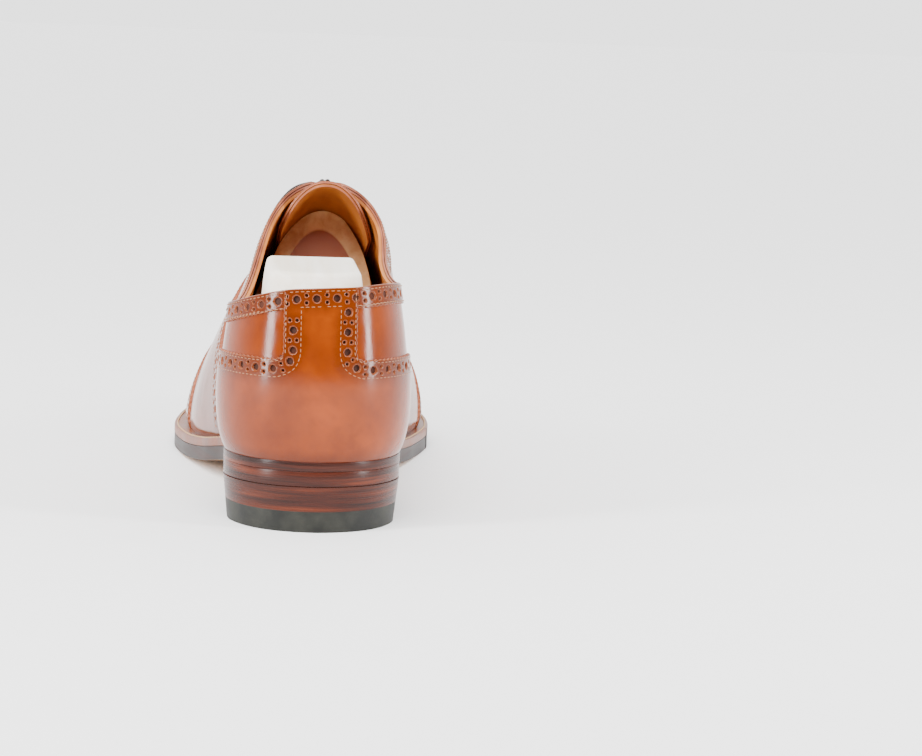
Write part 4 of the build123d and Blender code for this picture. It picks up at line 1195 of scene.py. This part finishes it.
def medallion():
    """The holes of the pattern on the toe: a cross of rings round the ridge."""
    centres, radii = [], []
    places = [(0, 0, 1.5)]
    places += ring_of_holes(7.0, 0, 60, 1.15)
    places += ring_of_holes(3.6, 30, 60, DOT_RADIUS)
    places += ring_of_holes(11.0, 0, 30, DOT_RADIUS)
    places += [(side * 15.0, 2.0, 1.3) for side in (-1, 1)] + [(0, 15.5, 1.3), (0, -15.5, 1.3)]
    places += [(side * 5.0, -17.5, DOT_RADIUS) for side in (-1, 1)] + [(0, -20.0, 1.0), (0, 19.5, 0.9)]
    top = np.abs(BASE_W) < MEDALLION_REACH
    plan = BASE_POINTS[top]
    for x, y, radius in places:
        spot = np.array([ridge(MEDALLION_RIDGE_Y) + x, MEDALLION_Y + y])
        i = np.argmin(((plan[:, :2] - spot) ** 2).sum(1))
        a, w = BASE_A[top][i], BASE_W[top][i]
        normal = skin_normal(np.array([a]), np.array([w]))[0]
        offset = spot - plan[i, :2]
        centres.append([*spot, plan[i, 2] - (normal[:2] @ offset) / normal[2]])
        radii.append(radius)
    return np.array(centres), np.array(radii)


def tongue_rule(inset):
    """A rule for the tongue's outline, moved in by an inset, on the top of the foot."""

    def rule(s):
        return np.minimum(s.inside("tongue") - inset, s.p[:, 2] - TONGUE_LOWEST)

    return rule


def make_upper():
    """The leather panels with their holes, the lining and the tongue.

    Each rule is the smallest of its distances inside the edges that bound the panel.
    """
    eyelets, pattern = eyelet_holes(), medallion()
    top_row = brogue("top", where({}, {"vamp": -3, "height": 117, "y": -40}), True)
    counter_row = brogue("counter", where({"top": 8.2}, {"vamp": -3.5}))
    vamp_row = brogue("vamp", where({"seat": 5, "slit": 4}, {"wing": -2}))
    wing_row = brogue("wing", where({"seat": 6, "vamp": 3}, {}))
    facing_row = brogue("facing", where({"top": 9, "height": 60}, {"vamp": -3.5}))

    def counter_rule(s):
        return np.minimum.reduce([
            s.inside("counter", True), s.inside("top"), -s.inside("vamp"), s.above_foot(),
            s.clear_of(top_row, counter_row),
        ])

    def collar_rule(s):
        return np.minimum.reduce([
            s.inside("collar", True), s.inside("opening"), LAP - s.inside("counter"),
            LAP - s.inside("facing"), s.clear_of(top_row), -s.inside("vamp"),
        ])

    def facing_rule(s):
        return np.minimum.reduce([
            s.inside("facing", True), s.inside("opening"), LAP - s.inside("vamp"),
            s.clear_of(facing_row, top_row, eyelets),
        ])

    def vamp_rule(s):
        return np.minimum.reduce([
            s.inside("vamp", True), UNDER_CAP - s.inside("wing"), s.inside("slit"), s.above_foot(),
            s.clear_of(vamp_row),
        ])

    def cap_rule(s):
        return np.minimum.reduce([
            s.inside("wing", True), s.inside("vamp") - 0.5, s.above_foot(), s.clear_of(wing_row, pattern),
        ])

    def quarter_rule(s):
        under_counter = np.maximum(UNDER_COUNTER - s.inside("counter"), UNDER_TAB - s.inside("top"))
        return np.minimum.reduce([
            s.inside("opening") - 0.15, UNDER_VAMP - s.inside("vamp"), under_counter, s.above_foot(),
            s.clear_of(eyelets) + EYELET_PLAY,
        ])

    # Painted shade: where this is positive, the quarters take the darker leather that stands for the shade
    # under the overlays.
    def under_overlays(s):
        return np.maximum.reduce([s.inside(seam) for seam in ("counter", "collar", "facing", "vamp")])

    def lining_rule(s):
        open_eyelets = s.clear_of(eyelets) + EYELET_PLAY
        return np.minimum.reduce([s.inside("opening") - 0.3, s.above_foot(), open_eyelets])

    overlays = (
        ("counter", counter_rule, COUNTER, ["heel_counter"], 0.5),
        ("collar_strips", collar_rule, COLLAR_STRIP, ["collar_strip_lateral", "collar_strip_medial"], 0.0),
        ("facings", facing_rule, FACING_STRIP, ["eyelet_facing_lateral", "eyelet_facing_medial"], 0.0),
        ("vamp_panel", vamp_rule, VAMP, ["vamp"], 0.7),
        ("wing_cap", cap_rule, TOE_CAP, ["wing_toe_cap"], 1.2),
    )
    for name, rule, depths, nodes, tuck in overlays:
        piece = thicken(name, cut_sheet(rule), depths, [CALF, CUT_EDGE], tuck=tuck)
        finish_piece(piece, "upper_leather", *nodes)

    quarter_sheet = cut_sheet(quarter_rule, rounds=1)
    # The third is the painted-shade leather under the overlays.
    leather = [CALF, CUT_EDGE, PAINTED_SHADE_LEATHER]
    quarters = thicken("quarters", quarter_sheet, QUARTER, leather, under_overlays, tuck=0.2)
    finish_piece(quarters, "upper_leather", "quarter_lateral", "quarter_medial")

    lining = thicken("shoe_lining", cut_sheet(lining_rule, rounds=1), LINING, [TAN_LINING, TAN_LINING])
    finish_piece(lining, "lining_leather", "quarter_lining_lateral", "quarter_lining_medial", "vamp_lining")

    for name, node, depths, material, slot, inset in (
        ("tongue_leather", "tongue", TONGUE, CALF, "upper_leather", 0.0),
        ("tongue_inner", "tongue_lining", TONGUE_LINING, TONGUE_EDGE, "lining_leather", 0.3),
    ):
        sheet = cut_sheet(tongue_rule(inset), rounds=1)
        finish_piece(thicken(name, sheet, depths, [material, CUT_EDGE]), slot, node)


def sew_upper():
    """The rows of stitches along the seams of the upper."""
    edge, inner = STITCH_ROWS
    facing, counter, vamp, cap = (layer[0] for layer in (FACING_STRIP, COUNTER, VAMP, TOE_CAP))
    rows = [  # seam, distance inside it, depth, where it is sewn
        ("opening", edge, facing, where({}, {"vamp": -1.5, "counter": 0})),
        ("opening", edge, counter, where({"counter": 1.5}, {})),
        ("top", inner, facing, where({}, {"vamp": -1.5, "facing": 1, "counter": -0.5})),
        ("top", inner, counter, where({"counter": inner}, {})),
    ]
    for distance, top in ((edge, 1.5), (inner, 7)):
        rows += [
            ("counter", distance, counter, where({"top": top, "seat": 4}, {"vamp": -1.5})),
            ("vamp", distance, vamp, where({"seat": 4, "slit": 1}, {"wing": -1})),
            ("wing", distance, cap, where({"seat": 5, "vamp": 2}, {})),
            ("facing", distance, facing, where({"top": 8.5, "height": 60}, {"vamp": -1.5})),
        ]
    off_overlays = where({"top": 6}, {"counter": -1, "facing": -1, "vamp": -1.5})
    rows.append(("collar", 1.0, COLLAR_STRIP[0], off_overlays))
    finish_piece(stitching("upper_stitches", rows, THREAD), "upper_leather")


# ---------------------------------------------------------------- the bottom


def feet(side, a):
    """Where ribs meet the seat, the level directions away from the shoe there, and the welt's projections."""
    rows = ease(TABLES[side], a)
    out = out_direction(rows[:, 2], side)
    return rows[:, :2] + out * rows[:, 3:4], out, rows[:, 11]


def foot_stations():
    """Rib numbers at even steps round half of the foot's outline."""
    lengths = arc_lengths(feet(LATERAL, DENSE)[0])
    steps = int(lengths[-1] / BASE_STEP)
    return np.interp(np.linspace(0, lengths[-1], steps + 1), lengths, DENSE)


def breast_number(side):
    """The rib number at which the heel ends."""
    dense = np.linspace(3, 6, 601)
    return float(np.interp(BREAST, feet(side, dense)[0][:, 1], dense))


def ring_stations(heel):
    """Stations round the heel, or round all the rest, as feet, directions and projections."""
    base = foot_stations()
    halves = []
    for side in (LATERAL, MEDIAL):
        stop = breast_number(side)
        a = base[base < stop] if heel else base[base > stop]
        a = np.append(a, stop) if heel else np.insert(a, 0, stop)
        halves.append(feet(side, a))
    if heel:
        return [np.concatenate([lateral[::-1], medial[1:]]) for lateral, medial in zip(*halves)]
    return [np.concatenate([lateral, medial[::-1][1:]]) for lateral, medial in zip(*halves)]


def loft(name, sections, materials, capped=True):
    """A closed skin over closed sections of the same number of points."""
    sections = np.array(sections)
    rings, around = sections.shape[:2]
    index = np.arange(rings * around).reshape(rings, around)
    following = np.roll(index, -1, axis=1)
    quads = np.stack([index[:-1], following[:-1], following[1:], index[1:]], 2).reshape(-1, 4)
    faces = [quads]
    if capped:
        faces += [index[:1, ::-1], index[-1:]]
    obj, _ = make_mesh(name, sections.reshape(-1, 3), faces, materials)
    clean = bmesh.new()
    clean.from_mesh(obj.data)
    bmesh.ops.remove_doubles(clean, verts=clean.verts, dist=1e-6)
    bmesh.ops.recalc_face_normals(clean, faces=clean.faces)
    clean.to_mesh(obj.data)
    clean.free()
    obj.data.set_sharp_from_angle(angle=radians(SHARP))
    return obj


def edge_sections(stations, profile):
    """A profile at each station: points (share of the projection, offset, height above the seat curve)."""
    foot, out, projection = stations
    sections = []
    for share, offset, rise in profile:
        xy = foot + out * (share * projection + offset)[:, None]
        sections.append(np.column_stack([xy, seat(xy[:, 1]) + rise]))
    return np.stack(sections, 1)


def rounded_edge(top, bottom, radius, offset=0.0):
    """The outer part of a profile, from its upper corner down to its lower one."""
    points = []
    for height, way, angles in ((top, -1, (90, 60, 30, 0)), (bottom, 1, (0, 30, 60, 90))):
        for angle in angles:
            inset = radius * (1 - cos(radians(angle)))
            points.append((1, offset - inset, height + way * radius * (1 - sin(radians(angle)))))
    return points


def make_bottom():
    """The welt, the heel's rand and the outsole, with the stitches that hold them."""
    front, back = ring_stations(False), ring_stations(True)
    inner_edge = [(0, -6.5, -WELT), (0, -6.5, -0.2)]
    for name, node, stations, top, radius, material in (
        ("welt_strip", "welt", front, -0.15, 0.5, WELT_LEATHER),
        ("rand_strip", "heel_rand", back, -0.1, 0.2, HEEL_STACK),
    ):
        profile = inner_edge + rounded_edge(top, -WELT, radius)
        finish_piece(loft(name, edge_sections(stations, profile), [material]), "welt_leather", node)

    stations = foot_stations()
    edge = rounded_edge(-WELT, -WELT - SOLE, 0.3, -0.1)
    halves = [edge_sections(feet(side, stations), edge) for side in (LATERAL, MEDIAL)]
    shares = np.linspace(0, 1, 9)[1:-1]
    sections = []
    for lateral, medial in zip(*halves):
        rows = [lateral]
        for start, end, rise in ((lateral[-1], medial[-1], -WELT - SOLE), (medial[0], lateral[0], -WELT)):
            line = start + (end - start) * shares[:, None]
            line[:, 2] = seat(line[:, 1]) + rise
            rows.append(line)
            if rise < -WELT:
                rows.append(medial[::-1])
        sections.append(np.concatenate(rows))
    sole = loft("sole_slab", sections, [SOLE_EDGE, SOLE_LEATHER, HEEL_STACK], capped=False)
    for polygon in sole.data.polygons:
        if polygon.normal.z < -0.9:
            polygon.material_index = 1
        elif polygon.center.y < BREAST * MM:
            polygon.material_index = 2
    finish_piece(sole, "sole_leather", "outsole")
    sew_welt(*front)


def sew_welt(foot, out, projection):
    """The stitches along the top of the welt, where it stands out far enough from the upper."""
    lengths = arc_lengths(foot)
    at = np.arange(4, lengths[-1] - 4, WELT_STITCH_PITCH)
    middle = np.interp(at, lengths, np.arange(len(foot)))
    low, share = middle.astype(int), (middle % 1)[:, None]
    line = foot + out * (projection - WELT_STITCH_INSET)[:, None]
    centres = line[low] * (1 - share) + line[low + 1] * share
    tangents = line[low + 1] - line[low]
    tangents /= np.linalg.norm(tangents, axis=1, keepdims=True)
    wide = projection[low] > NARROWEST_STITCHED_WELT
    centres = np.column_stack([centres, seat(centres[:, 1]) - 0.05])[wide]
    tangents = np.column_stack([tangents, tangents[:, 0] * 0])[wide]
    up = np.tile([0.0, 0.0, 1.0], (len(centres), 1))
    shape = capsule(WELT_STITCH_LENGTH, WELT_STITCH_RADIUS)
    stitches = scatter("welt_stitches", shape, centres, tangents, up, WELT_THREAD)
    finish_piece(stitches, "welt_leather")


# ---------------------------------------------------------------- what stays as the CAD has it


KEPT = (
    (BRASS, ("eyelets", "heel_nails", "tree_tube", "tree_tube_eye")),
    (STEEL, ("tree_hinge_pin", "tree_spring", "steel_shank")),
    (HEEL_STACK, ("heel_lift_lower", "heel_lift_middle", "heel_lift_upper", "heel_top_piece_leather")),
    (RUBBER, ("heel_top_piece_rubber",)),
    (AGLET, ("aglet_lateral", "aglet_medial")),
    (FOREPART_WOOD, ("tree_forepart",)),
    (BLOCK_WOOD, ("tree_heel_block",)),
    (CORK, ("cork_filler",)),
    (INSOLE, ("insole",)),
    (TAN_LINING, ("sock_liner",)),
    (STIFFENER, ("heel_stiffener",)),
    (PAINTED_SHADE_LEATHER, ("toe_puff",)),
)
CAD_SHARP = 35  # degrees, as SHARP


def dress_cad_nodes():
    """Gives every CAD node that still shows its material."""
    for material, names in KEPT:
        for name in names:
            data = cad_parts[name].data
            data.materials.clear()
            data.materials.append(material)
            data.set_sharp_from_angle(angle=radians(CAD_SHARP))


# ---------------------------------------------------------------- the studio


def area_light(name, place, target, size, watts):
    """A softbox that faces a target."""
    data = bpy.data.lights.new(name, "AREA")
    data.shape = "RECTANGLE"
    data.size, data.size_y = size
    data.energy = watts
    light = add_object(name, data)
    light.location = place
    light.rotation_euler = (Vector(target) - Vector(place)).to_track_quat("-Z", "Y").to_euler()


def add_studio():
    """A white floor, soft overhead light, and a world that is bright in front and dark behind the camera."""
    world = bpy.data.worlds.new("studio")
    world.use_nodes = True
    nodes, links = world.node_tree.nodes, world.node_tree.links
    direction = nodes.new("ShaderNodeTexCoord").outputs["Generated"]
    axes = nodes.new("ShaderNodeSeparateXYZ")
    links.new(direction, axes.inputs[0])
    glow = nodes.new("ShaderNodeMapRange")
    glow.interpolation_type = "SMOOTHSTEP"
    links.new(axes.outputs["Y"], glow.inputs["Value"])
    for key, value in (("From Min", -0.7), ("From Max", 0.9), ("To Min", 0.25), ("To Max", 2.5)):
        glow.inputs[key].default_value = value
    links.new(glow.outputs[0], nodes["Background"].inputs[1])
    nodes["Background"].inputs[0].default_value = (1, 1, 1, 1)
    bpy.context.scene.world = world

    floor_mesh = bpy.data.meshes.new("floor")
    # The floor ends behind the camera, which leaves a level line in what the heel reflects.
    corners = [(-30, -1.8, 0), (30, -1.8, 0), (30, 30, 0), (-30, 30, 0)]
    floor_mesh.from_pydata(corners, [], [(0, 1, 2, 3)])
    floor = add_object("floor", floor_mesh)
    paint = Paint("floor_paper")
    tooth = paint.noise(40, detail=2)
    white = paint.ramp(tooth, (0, 0.93), (1, 0.95))
    floor_mesh.materials.append(paint.done(white, paint.spread(tooth, 0.7, 0.8)))

    target = (0, -0.05, 0.05)
    area_light("left_softbox", (-0.85, -0.55, 0.4), target, (0.18, 0.8), 17)
    area_light("right_softbox", (0.9, -0.5, 0.4), target, (0.14, 0.8), 14)
    sun = bpy.data.lights.new("overhead", "SUN")
    sun.energy = 5.5
    sun.angle = radians(50)
    add_object("overhead", sun).rotation_euler = (radians(28), radians(-8), 0)


add_camera()
add_laces()
make_upper()
sew_upper()
make_bottom()
dress_cad_nodes()
add_studio()
